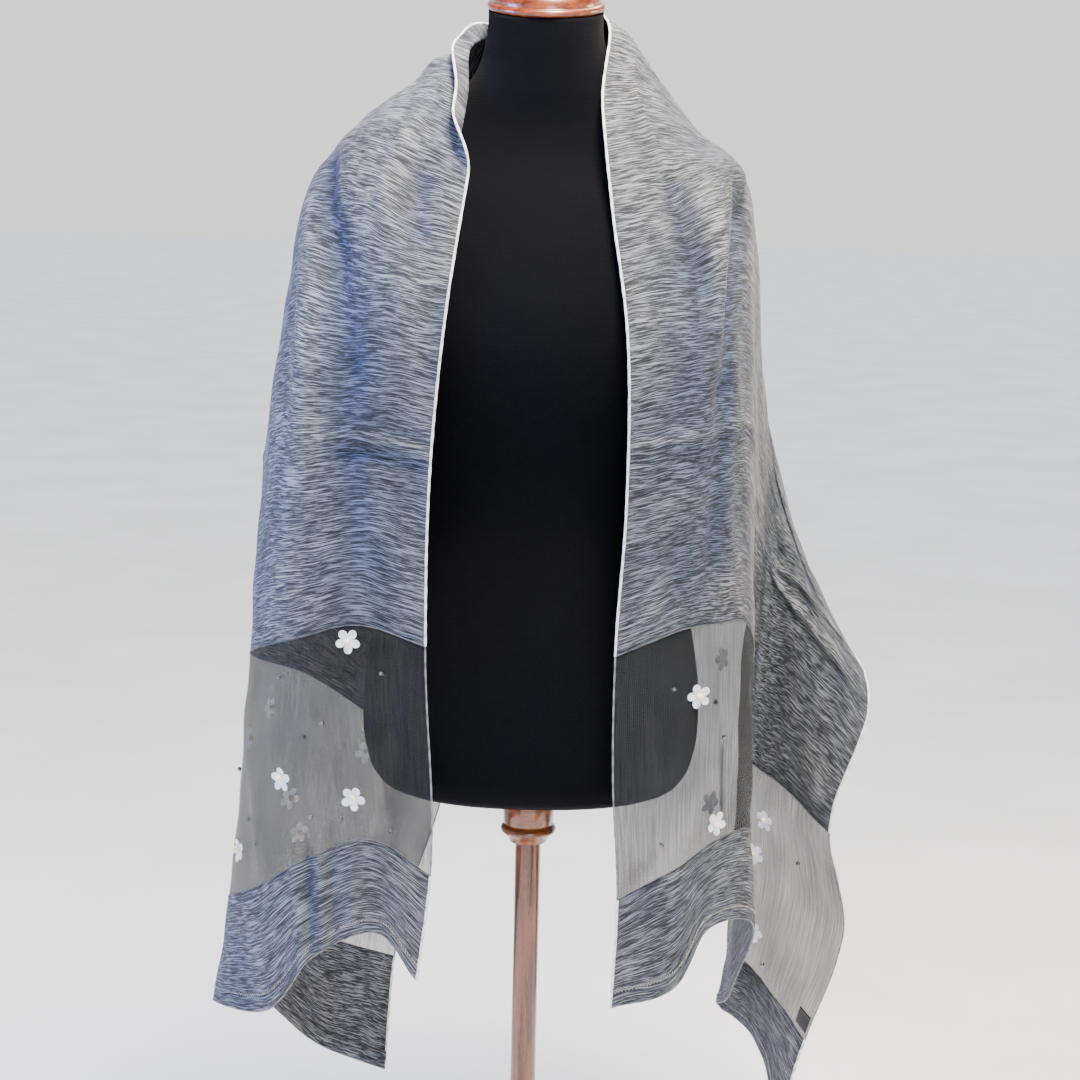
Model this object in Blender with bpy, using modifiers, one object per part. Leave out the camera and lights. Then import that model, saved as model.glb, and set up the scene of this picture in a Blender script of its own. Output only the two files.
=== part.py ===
"""A sheer scarf laid round the neck of a limbless dress form on its stand, at real size, in metres.

The origin is the middle of the base's underside. X runs to the right as seen from the front, Y away
from the viewer and Z up. The scarf is one rectangle of cloth: a long marled body, a sheer band at
each end and a marled hem band beyond it. Its drape is a smooth surface through weft lines: each
line is a row of DRAPE, and the runs between them are measured along the neck edge of the cloth.
"""

import math
from typing import NamedTuple

import bmesh
import bpy
import numpy as np
from mathutils import Matrix, Vector

# The scarf's cut
SCARF_WIDTH = 0.64
LEFT_BODY = 0.66
RIGHT_BODY = 0.69
SHEER_BAND = 0.218
HEM_BAND = 0.103
WALL = 0.001
SEAM_GAP = 0.0003

# The strip of the neck edge that is turned outward on the left, like a narrow lapel
TURN_WIDTH = 0.016
TURN_RADIUS = 0.0018
TURN_ANGLE = math.radians(152.0)
TURN_START_RUN = -0.245
TURN_FULL_RUN = -0.185
TURN_FADE_RUN = -0.095
TURN_END_RUN = -0.040

# How far apart the grid lines of the cloth lie, along its length and across it
RUN_STEP = 0.026
NECK_RUN = 0.13
NECK_RUN_STEP = 0.0135
EDGE_COLUMNS = (0.0, 0.0104, 0.0118, 0.0132, 0.0146, TURN_WIDTH, 0.0215)
WEFT_COLUMNS = (0.030, 0.060, 0.090, 0.118, 0.142, 0.165, 0.188, 0.212, 0.240, 0.270, 0.305, 0.340,
                0.375, 0.408, 0.440, 0.475, 0.510, 0.545, 0.580, 0.610, SCARF_WIDTH)

# The label on the sheer band's far edge at the right
LABEL_RUN = 0.886
LABEL_LENGTH = 0.016
LABEL_WIDTH = 0.022
LABEL_EDGE_MARGIN = 0.002
LABEL_THICKNESS = 0.001

# The dress form and its stand
FORM_BOTTOM = 0.52
NECK_TOP = 0.713
NECK_TILT = math.radians(12.0)
TILT_START = 0.62
FORM_ROUNDNESS = 2.3
FORM_SIDES = 30
CAP_RADIUS = 0.0525
CAP_LIP = 0.007
CAP_HEIGHT = 0.030
COLLAR_HEIGHT = 0.054
COLLAR_RADIUS = 0.0240
POLE_RADIUS = 0.012
BASE_RADIUS = 0.18
BASE_THICKNESS = 0.026
BASE_EDGE_RADIUS = 0.008
SEAT_GAP = 0.0003
CLOTH_CLEARANCE = 0.0019
TURNED_STEPS = 28

# Colours as linear red, green, blue
MARL_GREY = (0.30, 0.33, 0.36)
SHEER_GREY = (0.20, 0.21, 0.22)
LABEL_BLACK = (0.012, 0.012, 0.013)
JERSEY_BLACK = (0.008, 0.009, 0.013)
WARM_WOOD = (0.42, 0.17, 0.06)
DARK_WOOD = (0.16, 0.055, 0.022)

# How far across the cloth each place of a weft line lies, from the neck edge to the far edge
WEFT_PLACES = (0.0, 0.06, 0.125, 0.20, 0.30, 0.41, 0.53, SCARF_WIDTH)


class WeftLine(NamedTuple):
    """Eight places across the cloth, each (x, y, height above the form's bottom), at one run.

    A run is the distance along the neck edge from the middle of the back, less than zero on the left.
    """

    run: float
    edge: tuple
    breast: tuple
    outer: tuple
    fold: tuple
    side: tuple
    tuck: tuple
    sweep: tuple
    far: tuple


class FormSection(NamedTuple):
    """One level section of the dress form: half its width and depth, and its middle's depth."""

    height: float
    half_width: float
    half_depth: float
    middle: float


DRAPE = (
    WeftLine(-0.981, (-0.097, -0.130, -0.146), (-0.133, -0.126, -0.103), (-0.190, -0.118, -0.129),
             (-0.232, -0.096, -0.189), (-0.296, -0.025, -0.213), (-0.265, 0.040, -0.234),
             (-0.208, 0.085, -0.303), (-0.142, 0.100, -0.335)),
    WeftLine(-0.878, (-0.086, -0.130, -0.047), (-0.139, -0.127, -0.016), (-0.195, -0.115, -0.038),
             (-0.246, -0.080, -0.078), (-0.285, 0.000, -0.119), (-0.254, 0.070, -0.161),
             (-0.200, 0.115, -0.202), (-0.135, 0.128, -0.225)),
    WeftLine(-0.660, (-0.093, -0.130, 0.162), (-0.152, -0.126, 0.178), (-0.207, -0.112, 0.163),
             (-0.251, -0.060, 0.140), (-0.262, 0.035, 0.109), (-0.224, 0.110, 0.076),
             (-0.156, 0.150, 0.020), (-0.088, 0.172, -0.038)),
    WeftLine(-0.500, (-0.091, -0.129, 0.318), (-0.149, -0.127, 0.327), (-0.202, -0.108, 0.319),
             (-0.241, -0.055, 0.307), (-0.252, 0.045, 0.262), (-0.238, 0.115, 0.192),
             (-0.186, 0.155, 0.112), (-0.118, 0.175, 0.040)),
    WeftLine(-0.360, (-0.079, -0.122, 0.458), (-0.135, -0.116, 0.469), (-0.185, -0.085, 0.476),
             (-0.220, -0.030, 0.475), (-0.235, 0.045, 0.405), (-0.234, 0.110, 0.315),
             (-0.204, 0.146, 0.215), (-0.158, 0.160, 0.130)),
    WeftLine(-0.260, (-0.066, -0.088, 0.554), (-0.121, -0.064, 0.575), (-0.169, -0.029, 0.590),
             (-0.203, 0.010, 0.571), (-0.216, 0.064, 0.492), (-0.214, 0.108, 0.395),
             (-0.196, 0.130, 0.285), (-0.165, 0.138, 0.190)),
    WeftLine(-0.170, (-0.057, -0.045, 0.627), (-0.099, -0.013, 0.646), (-0.137, 0.022, 0.631),
             (-0.161, 0.072, 0.577), (-0.171, 0.108, 0.486), (-0.166, 0.118, 0.376),
             (-0.150, 0.123, 0.262), (-0.126, 0.128, 0.160)),
    WeftLine(-0.085, (-0.055, 0.005, 0.689), (-0.083, 0.035, 0.672), (-0.100, 0.078, 0.620),
             (-0.107, 0.106, 0.550), (-0.106, 0.119, 0.453), (-0.096, 0.123, 0.343),
             (-0.084, 0.126, 0.223), (-0.070, 0.128, 0.113)),
    WeftLine(0.000, (0.000, 0.060, 0.700), (0.000, 0.085, 0.647), (0.000, 0.101, 0.584),
             (0.000, 0.112, 0.510), (0.000, 0.119, 0.411), (0.000, 0.123, 0.301),
             (0.000, 0.126, 0.182), (0.000, 0.128, 0.072)),
    WeftLine(0.085, (0.051, 0.012, 0.709), (0.080, 0.052, 0.676), (0.095, 0.086, 0.617),
             (0.104, 0.109, 0.547), (0.106, 0.120, 0.449), (0.105, 0.124, 0.340),
             (0.101, 0.126, 0.220), (0.098, 0.128, 0.110)),
    WeftLine(0.200, (0.051, -0.050, 0.631), (0.098, -0.020, 0.632), (0.147, 0.012, 0.604),
             (0.170, 0.065, 0.564), (0.182, 0.105, 0.479), (0.188, 0.118, 0.374),
             (0.195, 0.124, 0.259), (0.202, 0.130, 0.154)),
    WeftLine(0.300, (0.061, -0.092, 0.541), (0.116, -0.072, 0.555), (0.160, -0.040, 0.571),
             (0.184, 0.015, 0.568), (0.202, 0.070, 0.500), (0.213, 0.112, 0.400),
             (0.232, 0.130, 0.285), (0.258, 0.138, 0.175)),
    WeftLine(0.400, (0.075, -0.125, 0.444), (0.130, -0.118, 0.455), (0.172, -0.090, 0.462),
             (0.190, -0.030, 0.454), (0.204, 0.040, 0.405), (0.224, 0.080, 0.325),
             (0.252, 0.088, 0.235), (0.292, 0.080, 0.140)),
    WeftLine(0.550, (0.079, -0.130, 0.292), (0.129, -0.128, 0.303), (0.171, -0.105, 0.309),
             (0.194, -0.055, 0.299), (0.206, 0.022, 0.255), (0.228, 0.068, 0.190),
             (0.275, 0.062, 0.130), (0.325, 0.045, 0.074)),
    WeftLine(0.690, (0.073, -0.130, 0.157), (0.124, -0.129, 0.179), (0.164, -0.112, 0.184),
             (0.197, -0.062, 0.169), (0.204, 0.016, 0.114), (0.211, 0.072, 0.044),
             (0.244, 0.080, -0.023), (0.295, 0.058, -0.060)),
    WeftLine(0.800, (0.074, -0.130, 0.046), (0.127, -0.129, 0.066), (0.166, -0.114, 0.076),
             (0.200, -0.068, 0.064), (0.203, 0.012, 0.004), (0.204, 0.078, -0.066),
             (0.253, 0.090, -0.130), (0.315, 0.068, -0.165)),
    WeftLine(0.908, (0.081, -0.130, -0.066), (0.129, -0.130, -0.037), (0.167, -0.108, -0.016),
             (0.204, -0.072, -0.018), (0.201, 0.008, -0.081), (0.195, 0.080, -0.156),
             (0.234, 0.098, -0.238), (0.283, 0.076, -0.281)),
    WeftLine(1.011, (0.078, -0.130, -0.168), (0.134, -0.127, -0.149), (0.163, -0.110, -0.100),
             (0.209, -0.072, -0.105), (0.201, 0.008, -0.150), (0.188, 0.082, -0.209),
             (0.234, 0.100, -0.285), (0.259, 0.076, -0.370)),
)

FORM = (
    FormSection(0.000, 0.122, 0.080, 0.000),
    FormSection(0.005, 0.134, 0.091, 0.000),
    FormSection(0.016, 0.145, 0.101, 0.000),
    FormSection(0.040, 0.154, 0.108, 0.000),
    FormSection(0.085, 0.157, 0.112, 0.002),
    FormSection(0.150, 0.149, 0.106, 0.002),
    FormSection(0.215, 0.133, 0.094, 0.000),
    FormSection(0.265, 0.125, 0.086, -0.002),
    FormSection(0.320, 0.130, 0.092, -0.004),
    FormSection(0.380, 0.140, 0.108, -0.008),
    FormSection(0.430, 0.147, 0.115, -0.006),
    FormSection(0.480, 0.152, 0.110, 0.000),
    FormSection(0.525, 0.164, 0.097, 0.007),
    FormSection(0.555, 0.178, 0.084, 0.012),
    FormSection(0.572, 0.182, 0.074, 0.014),
    FormSection(0.586, 0.171, 0.066, 0.014),
    FormSection(0.601, 0.147, 0.060, 0.013),
    FormSection(0.614, 0.118, 0.057, 0.012),
    FormSection(0.626, 0.094, 0.055, 0.010),
    FormSection(0.641, 0.075, 0.053, 0.007),
    FormSection(0.660, 0.061, 0.051, 0.004),
    FormSection(0.686, 0.053, 0.050, 0.001),
    FormSection(0.740, 0.052, 0.050, 0.000),
)


def smooth_through(places, values, wanted):
    """Read a smooth curve that passes through every listed value, a cubic from each to the next."""
    places = np.asarray(places, dtype=float)
    values = np.asarray(values, dtype=float)
    wanted = np.asarray(wanted, dtype=float)
    slopes = np.gradient(values, places, axis=0)
    cell = np.clip(np.searchsorted(places, wanted) - 1, 0, len(places) - 2)
    width = places[cell + 1] - places[cell]
    part = (wanted - places[cell]) / width
    spread = (slice(None),) + (None,) * (values.ndim - 1)
    part = part[spread]
    width = width[spread]
    rest = 1.0 - part
    ends = values[cell] * (1.0 + 2.0 * part) * rest**2 + values[cell + 1] * (3.0 - 2.0 * part) * part**2
    leans = slopes[cell] * part * rest**2 - slopes[cell + 1] * rest * part**2
    return ends + leans * width


def smooth_step(start, end, place):
    """Rise from 0 at start to 1 at end, level at both."""
    part = np.clip((place - start) / (end - start), 0.0, 1.0)
    return part * part * (3.0 - 2.0 * part)


def form_section_at(height):
    """Half width, half depth and middle depth of the form at each height."""
    heights = [section.height for section in FORM]
    sizes = [(section.half_width, section.half_depth, section.middle) for section in FORM]
    level = np.clip(height, heights[0], heights[-1])
    sized = smooth_through(heights, sizes, level)
    return sized[..., 0], sized[..., 1], sized[..., 2]


def form_level(points):
    """1 on the form's surface, less inside and more outside."""
    half_width, half_depth, middle = form_section_at(points[:, 2])
    across = np.abs(points[:, 0]) / half_width
    along = np.abs(points[:, 1] - middle) / half_depth
    return (across**FORM_ROUNDNESS + along**FORM_ROUNDNESS) ** (1.0 / FORM_ROUNDNESS)


def clear_of_form(points, clearance, rounds=6, probe=0.0005):
    """Move the points that lie closer than the clearance outward until they just clear the form."""
    points = points.copy()
    steps = np.eye(3) * probe
    for _ in range(rounds):
        level = form_level(points)
        slope = np.stack([(form_level(points + step) - form_level(points - step)) / (2.0 * probe)
                          for step in steps], axis=1)
        steepness = np.linalg.norm(slope, axis=1)
        distance = (level - 1.0) / steepness
        short = np.clip(clearance - distance, 0.0, 0.02)
        short[(points[:, 2] < 0.0) | (points[:, 2] > FORM[-1].height)] = 0.0
        points += slope / steepness[:, None] * short[:, None]
    return points


def drape(runs, places):
    """Points of the cloth's middle surface on a grid of runs and places across, form's heights."""
    lines = smooth_through([line.run for line in DRAPE], [line[1:] for line in DRAPE], runs)
    grid = smooth_through(WEFT_PLACES, np.swapaxes(lines, 0, 1), places)
    grid = np.swapaxes(grid, 0, 1)
    return clear_of_form(grid.reshape(-1, 3), CLOTH_CLEARANCE).reshape(grid.shape)


def turn_edge(grid, runs, places):
    """Roll the strip next to the neck edge outward on the left, about a round of TURN_RADIUS.

    The first and last rows stay straight there, to meet the next stretch's coarser rows.
    """
    just_inside = drape(runs, [TURN_WIDTH, TURN_WIDTH + 0.004])
    crease = just_inside[:, 0]
    inward = just_inside[:, 1] - crease
    inward /= np.linalg.norm(inward, axis=1)[:, None]
    along = np.gradient(crease, axis=0)
    outward = np.cross(along, inward)
    outward /= np.linalg.norm(outward, axis=1)[:, None]
    opened = smooth_step(TURN_START_RUN, TURN_FULL_RUN, runs)
    faded = 1.0 - smooth_step(TURN_FADE_RUN, TURN_END_RUN, runs)
    angle = TURN_ANGLE * opened * faded
    for column, place in enumerate(places):
        if place >= TURN_WIDTH:
            continue
        length = TURN_WIDTH - place
        bent = np.minimum(length / TURN_RADIUS, angle)
        straight = length - bent * TURN_RADIUS
        off_edge = TURN_RADIUS * np.sin(bent) + straight * np.cos(bent)
        lift = TURN_RADIUS * (1.0 - np.cos(bent)) + straight * np.sin(bent)
        grid[:, column] += inward * (length - off_edge)[:, None] + outward * lift[:, None]
    for row in (0, -1):
        for column in range(1, len(EDGE_COLUMNS)):
            share = places[column] / WEFT_COLUMNS[0]
            first_weft = grid[row, len(EDGE_COLUMNS)]
            grid[row, column] = grid[row, 0] * (1.0 - share) + first_weft * share
    return grid


def new_material(name, colour, roughness):
    """A plain Principled material."""
    material = bpy.data.materials.new(name)
    material.use_nodes = True
    shader = material.node_tree.nodes["Principled BSDF"]
    shader.inputs["Base Color"].default_value = (*colour, 1.0)
    shader.inputs["Roughness"].default_value = roughness
    shader.inputs["Metallic"].default_value = 0.0
    return material


def new_object(name, mesh, material, collection):
    """Put a mesh with one material into the part's collection."""
    body = bpy.data.objects.new(name, mesh)
    mesh.materials.append(material)
    collection.objects.link(body)
    return body


def add_wall(body, thickness):
    """Give an open sheet its wall, half to each side."""
    wall = body.modifiers.new("Wall", "SOLIDIFY")
    wall.thickness = thickness
    wall.offset = 0.0
    wall.use_even_offset = True


def sheet_mesh(name, grid):
    """An open sheet of quads through a grid of points, its faces turned to the cloth's outside."""
    rows, columns = grid.shape[:2]
    faces = []
    for row in range(rows - 1):
        for column in range(columns - 1):
            corner = row * columns + column
            faces.append((corner, corner + columns, corner + columns + 1, corner + 1))
    mesh = bpy.data.meshes.new(name)
    mesh.from_pydata([tuple(point) for point in grid.reshape(-1, 3)], [], faces)
    mesh.shade_smooth()
    return mesh


def grid_runs(run_start, run_end):
    """Runs of a piece's grid rows, closer together where the cloth bends round the neck."""
    stops = [run_start] + [stop for stop in (-NECK_RUN, NECK_RUN) if run_start < stop < run_end] + [run_end]
    runs = [run_start]
    for start, end in zip(stops, stops[1:]):
        step = NECK_RUN_STEP if abs(start + end) < NECK_RUN else RUN_STEP
        rows = max(2, round((end - start) / step))
        runs.extend(np.linspace(start, end, rows + 1)[1:])
    return np.array(runs)


def part_seam(grid, row, neighbour):
    """Draw one row of the grid back from its seam by half the gap, square to the seam."""
    along_seam = np.gradient(grid[row], axis=0)
    along_seam /= np.linalg.norm(along_seam, axis=1)[:, None]
    back = grid[neighbour] - grid[row]
    back -= along_seam * np.sum(back * along_seam, axis=1)[:, None]
    back /= np.linalg.norm(back, axis=1)[:, None]
    grid[row] += back * SEAM_GAP / 2


def add_cloth(name, run_start, run_end, material, collection, turned=False):
    """One piece of the scarf, from run to run, across its whole width."""
    runs = grid_runs(run_start, run_end)
    places = np.array(EDGE_COLUMNS + WEFT_COLUMNS if turned else (0.0,) + WEFT_COLUMNS)
    grid = drape(runs, places)
    if turned:
        grid = turn_edge(grid, runs, places)
    part_seam(grid, 0, 1)
    part_seam(grid, -1, -2)
    grid[..., 2] += FORM_BOTTOM
    body = new_object(name, sheet_mesh(name, grid), material, collection)
    add_wall(body, WALL)
    return body


def add_label(material, collection):
    """The small label, a patch of the band's own surface moved out from it."""
    runs = np.linspace(LABEL_RUN, LABEL_RUN + LABEL_LENGTH, 4)
    last = SCARF_WIDTH - LABEL_EDGE_MARGIN
    places = np.linspace(last - LABEL_WIDTH, last, 5)
    grid = drape(runs, places)
    outward = np.cross(np.gradient(grid, axis=0), np.gradient(grid, axis=1))
    outward /= np.linalg.norm(outward, axis=2)[..., None]
    grid += outward * (WALL / 2 + SEAM_GAP + LABEL_THICKNESS / 2)
    grid[..., 2] += FORM_BOTTOM
    body = new_object("label", sheet_mesh("label", grid), material, collection)
    add_wall(body, LABEL_THICKNESS)
    return body


def form_ring(height, tilt):
    """Points round the form where a plane at this height, tilted to the front, meets its surface."""
    angles = np.linspace(0.0, 2.0 * math.pi, FORM_SIDES, endpoint=False)
    cosine = np.cos(angles)
    sine = np.sin(angles)
    level = np.full(FORM_SIDES, height)
    for _ in range(4):
        half_width, half_depth, middle = form_section_at(level)
        reach = ((np.abs(cosine) / half_width) ** FORM_ROUNDNESS
                 + (np.abs(sine) / half_depth) ** FORM_ROUNDNESS) ** (-1.0 / FORM_ROUNDNESS)
        depth = middle + reach * sine
        level = height + math.tan(tilt) * depth
    return np.stack([reach * cosine, depth, level], axis=1)


def add_form(material, collection):
    """The torso: a loft through its sections, flat below and cut at a tilt across the neck."""
    heights = [0.0, 0.004, 0.012, 0.027, 0.055, 0.090, 0.130, 0.175, 0.220, 0.265, 0.310, 0.355,
               0.400, 0.445, 0.485, 0.520, 0.545, 0.562, 0.575, 0.588, 0.602, 0.616, 0.628, 0.641,
               0.653, 0.667, 0.683, 0.698, NECK_TOP]
    mesh = bmesh.new()
    rings = []
    for height in heights:
        tilt = NECK_TILT * float(smooth_step(TILT_START, NECK_TOP, height))
        ring = form_ring(height, tilt)
        rings.append([mesh.verts.new((x, y, z + FORM_BOTTOM)) for x, y, z in ring])
    for lower, upper in zip(rings, rings[1:]):
        for here in range(FORM_SIDES):
            after = (here + 1) % FORM_SIDES
            mesh.faces.new((lower[here], lower[after], upper[after], upper[here]))
    mesh.faces.new(list(reversed(rings[0])))
    mesh.faces.new(rings[-1])
    body = bpy.data.meshes.new("dress_form")
    mesh.to_mesh(body)
    mesh.free()
    body.shade_smooth()
    body.set_sharp_from_angle(angle=math.radians(40.0))
    return new_object("dress_form", body, material, collection)


def add_turned(name, outline, material, collection):
    """A turned piece from its outline, pairs of radius and height from the top to the bottom."""
    mesh = bpy.data.meshes.new(name)
    points = [(radius, 0.0, height) for radius, height in outline]
    mesh.from_pydata(points, [(index, index + 1) for index in range(len(points) - 1)], [])
    body = new_object(name, mesh, material, collection)
    screw = body.modifiers.new("Turned", "SCREW")
    screw.steps = TURNED_STEPS
    screw.render_steps = TURNED_STEPS
    screw.use_merge_vertices = True
    screw.merge_threshold = 0.00001
    screw.use_smooth_shade = True
    return body


def quarter(middle_radius, middle_height, radius, start, end, steps=5):
    """Points of an arc in an outline, its angles in degrees from level outward."""
    angles = [math.radians(start + (end - start) * step / steps) for step in range(steps + 1)]
    return [(middle_radius + radius * math.cos(angle), middle_height + radius * math.sin(angle))
            for angle in angles]


def add_neck_cap(material, collection):
    """The wooden cap on the neck: a low dome over a rounded lip."""
    lip_radius = CAP_LIP / 2
    dome_radius = CAP_RADIUS - 0.004
    dome_height = CAP_HEIGHT - CAP_LIP
    dome = [(dome_radius * math.sin(math.radians(angle)), CAP_LIP + dome_height * math.cos(math.radians(angle)))
            for angle in range(0, 91, 15)]
    lip = quarter(CAP_RADIUS - lip_radius, lip_radius, lip_radius, 90, -90, 4)
    cap = add_turned("neck_cap", dome + lip + [(0.0, 0.0)], material, collection)
    lift = Vector((0.0, -math.sin(NECK_TILT), math.cos(NECK_TILT))) * SEAT_GAP
    place = Matrix.Translation(Vector((0.0, 0.0, FORM_BOTTOM + NECK_TOP)) + lift)
    cap.matrix_world = place @ Matrix.Rotation(NECK_TILT, 4, "X")
    return cap


def add_collar(material, collection):
    """The turned wooden collar that carries the form on its pole."""
    top = FORM_BOTTOM - SEAT_GAP
    bottom = top - COLLAR_HEIGHT
    ring_height = top - 0.042
    outline = [(0.0, top), (COLLAR_RADIUS, top), (COLLAR_RADIUS, ring_height + 0.006)]
    outline += quarter(COLLAR_RADIUS - 0.002, ring_height, 0.0042, 60, -60, 4)
    outline += [(COLLAR_RADIUS - 0.003, ring_height - 0.006), (POLE_RADIUS + 0.006, bottom), (0.0, bottom)]
    return add_turned("stand_collar", outline, material, collection)


def add_pole(material, collection):
    """The plain round pole between the base and the collar."""
    bottom = BASE_THICKNESS + SEAT_GAP
    top = FORM_BOTTOM - COLLAR_HEIGHT - 2.0 * SEAT_GAP
    outline = [(0.0, top), (POLE_RADIUS, top), (POLE_RADIUS, bottom), (0.0, bottom)]
    return add_turned("stand_pole", outline, material, collection)


def add_base(material, collection):
    """The round base, its underside flat on the floor."""
    edge = quarter(BASE_RADIUS - BASE_EDGE_RADIUS, BASE_THICKNESS - BASE_EDGE_RADIUS, BASE_EDGE_RADIUS, 90, 0, 4)
    outline = [(0.0, BASE_THICKNESS)] + edge + [(BASE_RADIUS, 0.0), (0.0, 0.0)]
    return add_turned("stand_base", outline, material, collection)


def clear_scene():
    """Remove whatever objects the file opened with."""
    for body in list(bpy.data.objects):
        bpy.data.objects.remove(body, do_unlink=True)


def build():
    """Make every piece of the scarf, its label, the form and the stand."""
    clear_scene()
    collection = bpy.data.collections.new("sheer_scarf_on_dress_form")
    bpy.context.scene.collection.children.link(collection)
    marl = new_material("marled_cloth", MARL_GREY, 0.75)
    sheer = new_material("sheer_organza", SHEER_GREY, 0.5)
    label = new_material("label_cloth", LABEL_BLACK, 0.7)
    jersey = new_material("black_jersey", JERSEY_BLACK, 0.85)
    warm = new_material("warm_wood", WARM_WOOD, 0.3)
    dark = new_material("dark_wood", DARK_WOOD, 0.35)
    left_hem_seam = -LEFT_BODY - SHEER_BAND
    right_hem_seam = RIGHT_BODY + SHEER_BAND
    add_cloth("left_hem_band", left_hem_seam - HEM_BAND, left_hem_seam, marl, collection)
    add_cloth("left_sheer_band", left_hem_seam, -LEFT_BODY, sheer, collection)
    add_cloth("body", -LEFT_BODY, RIGHT_BODY, marl, collection, turned=True)
    add_cloth("right_sheer_band", RIGHT_BODY, right_hem_seam, sheer, collection)
    add_cloth("right_hem_band", right_hem_seam, right_hem_seam + HEM_BAND, marl, collection)
    add_label(label, collection)
    add_form(jersey, collection)
    add_neck_cap(warm, collection)
    add_collar(dark, collection)
    add_pole(dark, collection)
    add_base(dark, collection)


if __name__ == "__main__":
    build()
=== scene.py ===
"""Looks of the sheer scarf on its limbless dress form: cloth, stitches, flowers, beads, form and stand.

The scarf is one long rectangle of cloth. A place on it has two numbers: its run, the distance along the
neck edge from the middle of the back (less than zero on the left), and its place across, from the neck
edge to the far edge.
"""

import logging
import math
from dataclasses import dataclass
from enum import Enum
from typing import NamedTuple, Optional, Sequence, Union

import bmesh
import bpy
import numpy as np
from mathutils import Matrix, Vector, noise


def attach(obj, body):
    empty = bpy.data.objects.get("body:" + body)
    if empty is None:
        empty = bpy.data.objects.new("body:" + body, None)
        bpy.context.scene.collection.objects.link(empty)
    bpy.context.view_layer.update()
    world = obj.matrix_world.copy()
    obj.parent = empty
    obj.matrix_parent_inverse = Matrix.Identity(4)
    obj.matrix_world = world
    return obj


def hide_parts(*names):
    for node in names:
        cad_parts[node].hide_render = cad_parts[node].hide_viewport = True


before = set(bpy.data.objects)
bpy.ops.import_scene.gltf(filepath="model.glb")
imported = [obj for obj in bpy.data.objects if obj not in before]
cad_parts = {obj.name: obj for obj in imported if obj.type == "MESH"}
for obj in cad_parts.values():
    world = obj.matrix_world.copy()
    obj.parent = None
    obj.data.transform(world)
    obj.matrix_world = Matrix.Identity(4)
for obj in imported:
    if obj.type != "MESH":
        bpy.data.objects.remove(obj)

log = logging.getLogger("scarf")

Point = tuple[float, float, float]
SocketValue = Union[float, Sequence[float], bpy.types.NodeSocket, bpy.types.Node]
NodeOwner = Union[bpy.types.Material, bpy.types.World]

ROOT_BODY = "root"
BODY_PANEL = "marled_body"
MILLIMETRE = 0.001
WAVE_UNITS = 20.0
NOISE_SEED = 1


# Colour and nodes

def linear(code: str) -> tuple[float, float, float, float]:
    """Turn an sRGB hex colour into linear red, green, blue and alpha.

    Args:
        code: Six hex digits after a hash, such as "#a0b0c0".

    Returns:
        The linear colour, its alpha 1.
    """
    channels = [int(code[start:start + 2], 16) / 255.0 for start in (1, 3, 5)]
    red, green, blue = [
        channel / 12.92 if channel <= 0.04045 else ((channel + 0.055) / 1.055) ** 2.4
        for channel in channels
    ]
    return red, green, blue, 1.0


def set_inputs(owner: NodeOwner, node: bpy.types.Node, inputs: dict[Union[str, int], SocketValue]) -> None:
    """Set or feed a node's input sockets.

    Args:
        owner: The material or surround that the node is in.
        node: The node.
        inputs: For each input, a constant, an output socket, or a node whose first output feeds it.
    """
    for name, value in inputs.items():
        if isinstance(value, bpy.types.Node):
            value = next(socket for socket in value.outputs if socket.enabled)
        if isinstance(value, bpy.types.NodeSocket):
            owner.node_tree.links.new(value, node.inputs[name])
        else:
            node.inputs[name].default_value = value


def add_node(
    owner: NodeOwner,
    kind: str,
    settings: Optional[dict[str, object]] = None,
    inputs: Optional[dict[Union[str, int], SocketValue]] = None,
) -> bpy.types.Node:
    """Add one node.

    Args:
        owner: The material or surround that gets the node.
        kind: The node's Blender type name.
        settings: Values for the node's own properties.
        inputs: What set_inputs takes.

    Returns:
        The new node.
    """
    node = owner.node_tree.nodes.new(kind)
    for name, value in (settings or {}).items():
        setattr(node, name, value)
    set_inputs(owner, node, inputs or {})
    return node


def drawn_out(size_mm: tuple[float, float]) -> Point:
    """Return the noise scale for marks of this width and height on the cloth's coordinates."""
    return 1.0 / (size_mm[0] * MILLIMETRE), 1.0 / (size_mm[1] * MILLIMETRE), 1.0


def wave_scale(spacing_mm: float) -> float:
    """Return the wave texture's scale for bands at this spacing. Its own unit is pi / 10."""
    return 2.0 * math.pi / (WAVE_UNITS * spacing_mm * MILLIMETRE)


def set_ramp(node: bpy.types.Node, stops: Sequence[tuple[float, str]]) -> None:
    """Give a colour ramp its stops.

    Args:
        node: The colour ramp node.
        stops: Pairs of a position from 0 to 1 and an sRGB hex colour.
    """
    elements = node.color_ramp.elements
    while len(elements) > 2:
        elements.remove(elements[-1])
    while len(elements) < len(stops):
        elements.new(0.5)
    for element, (position, code) in zip(elements, stops):
        element.position = position
        element.color = linear(code)


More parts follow.
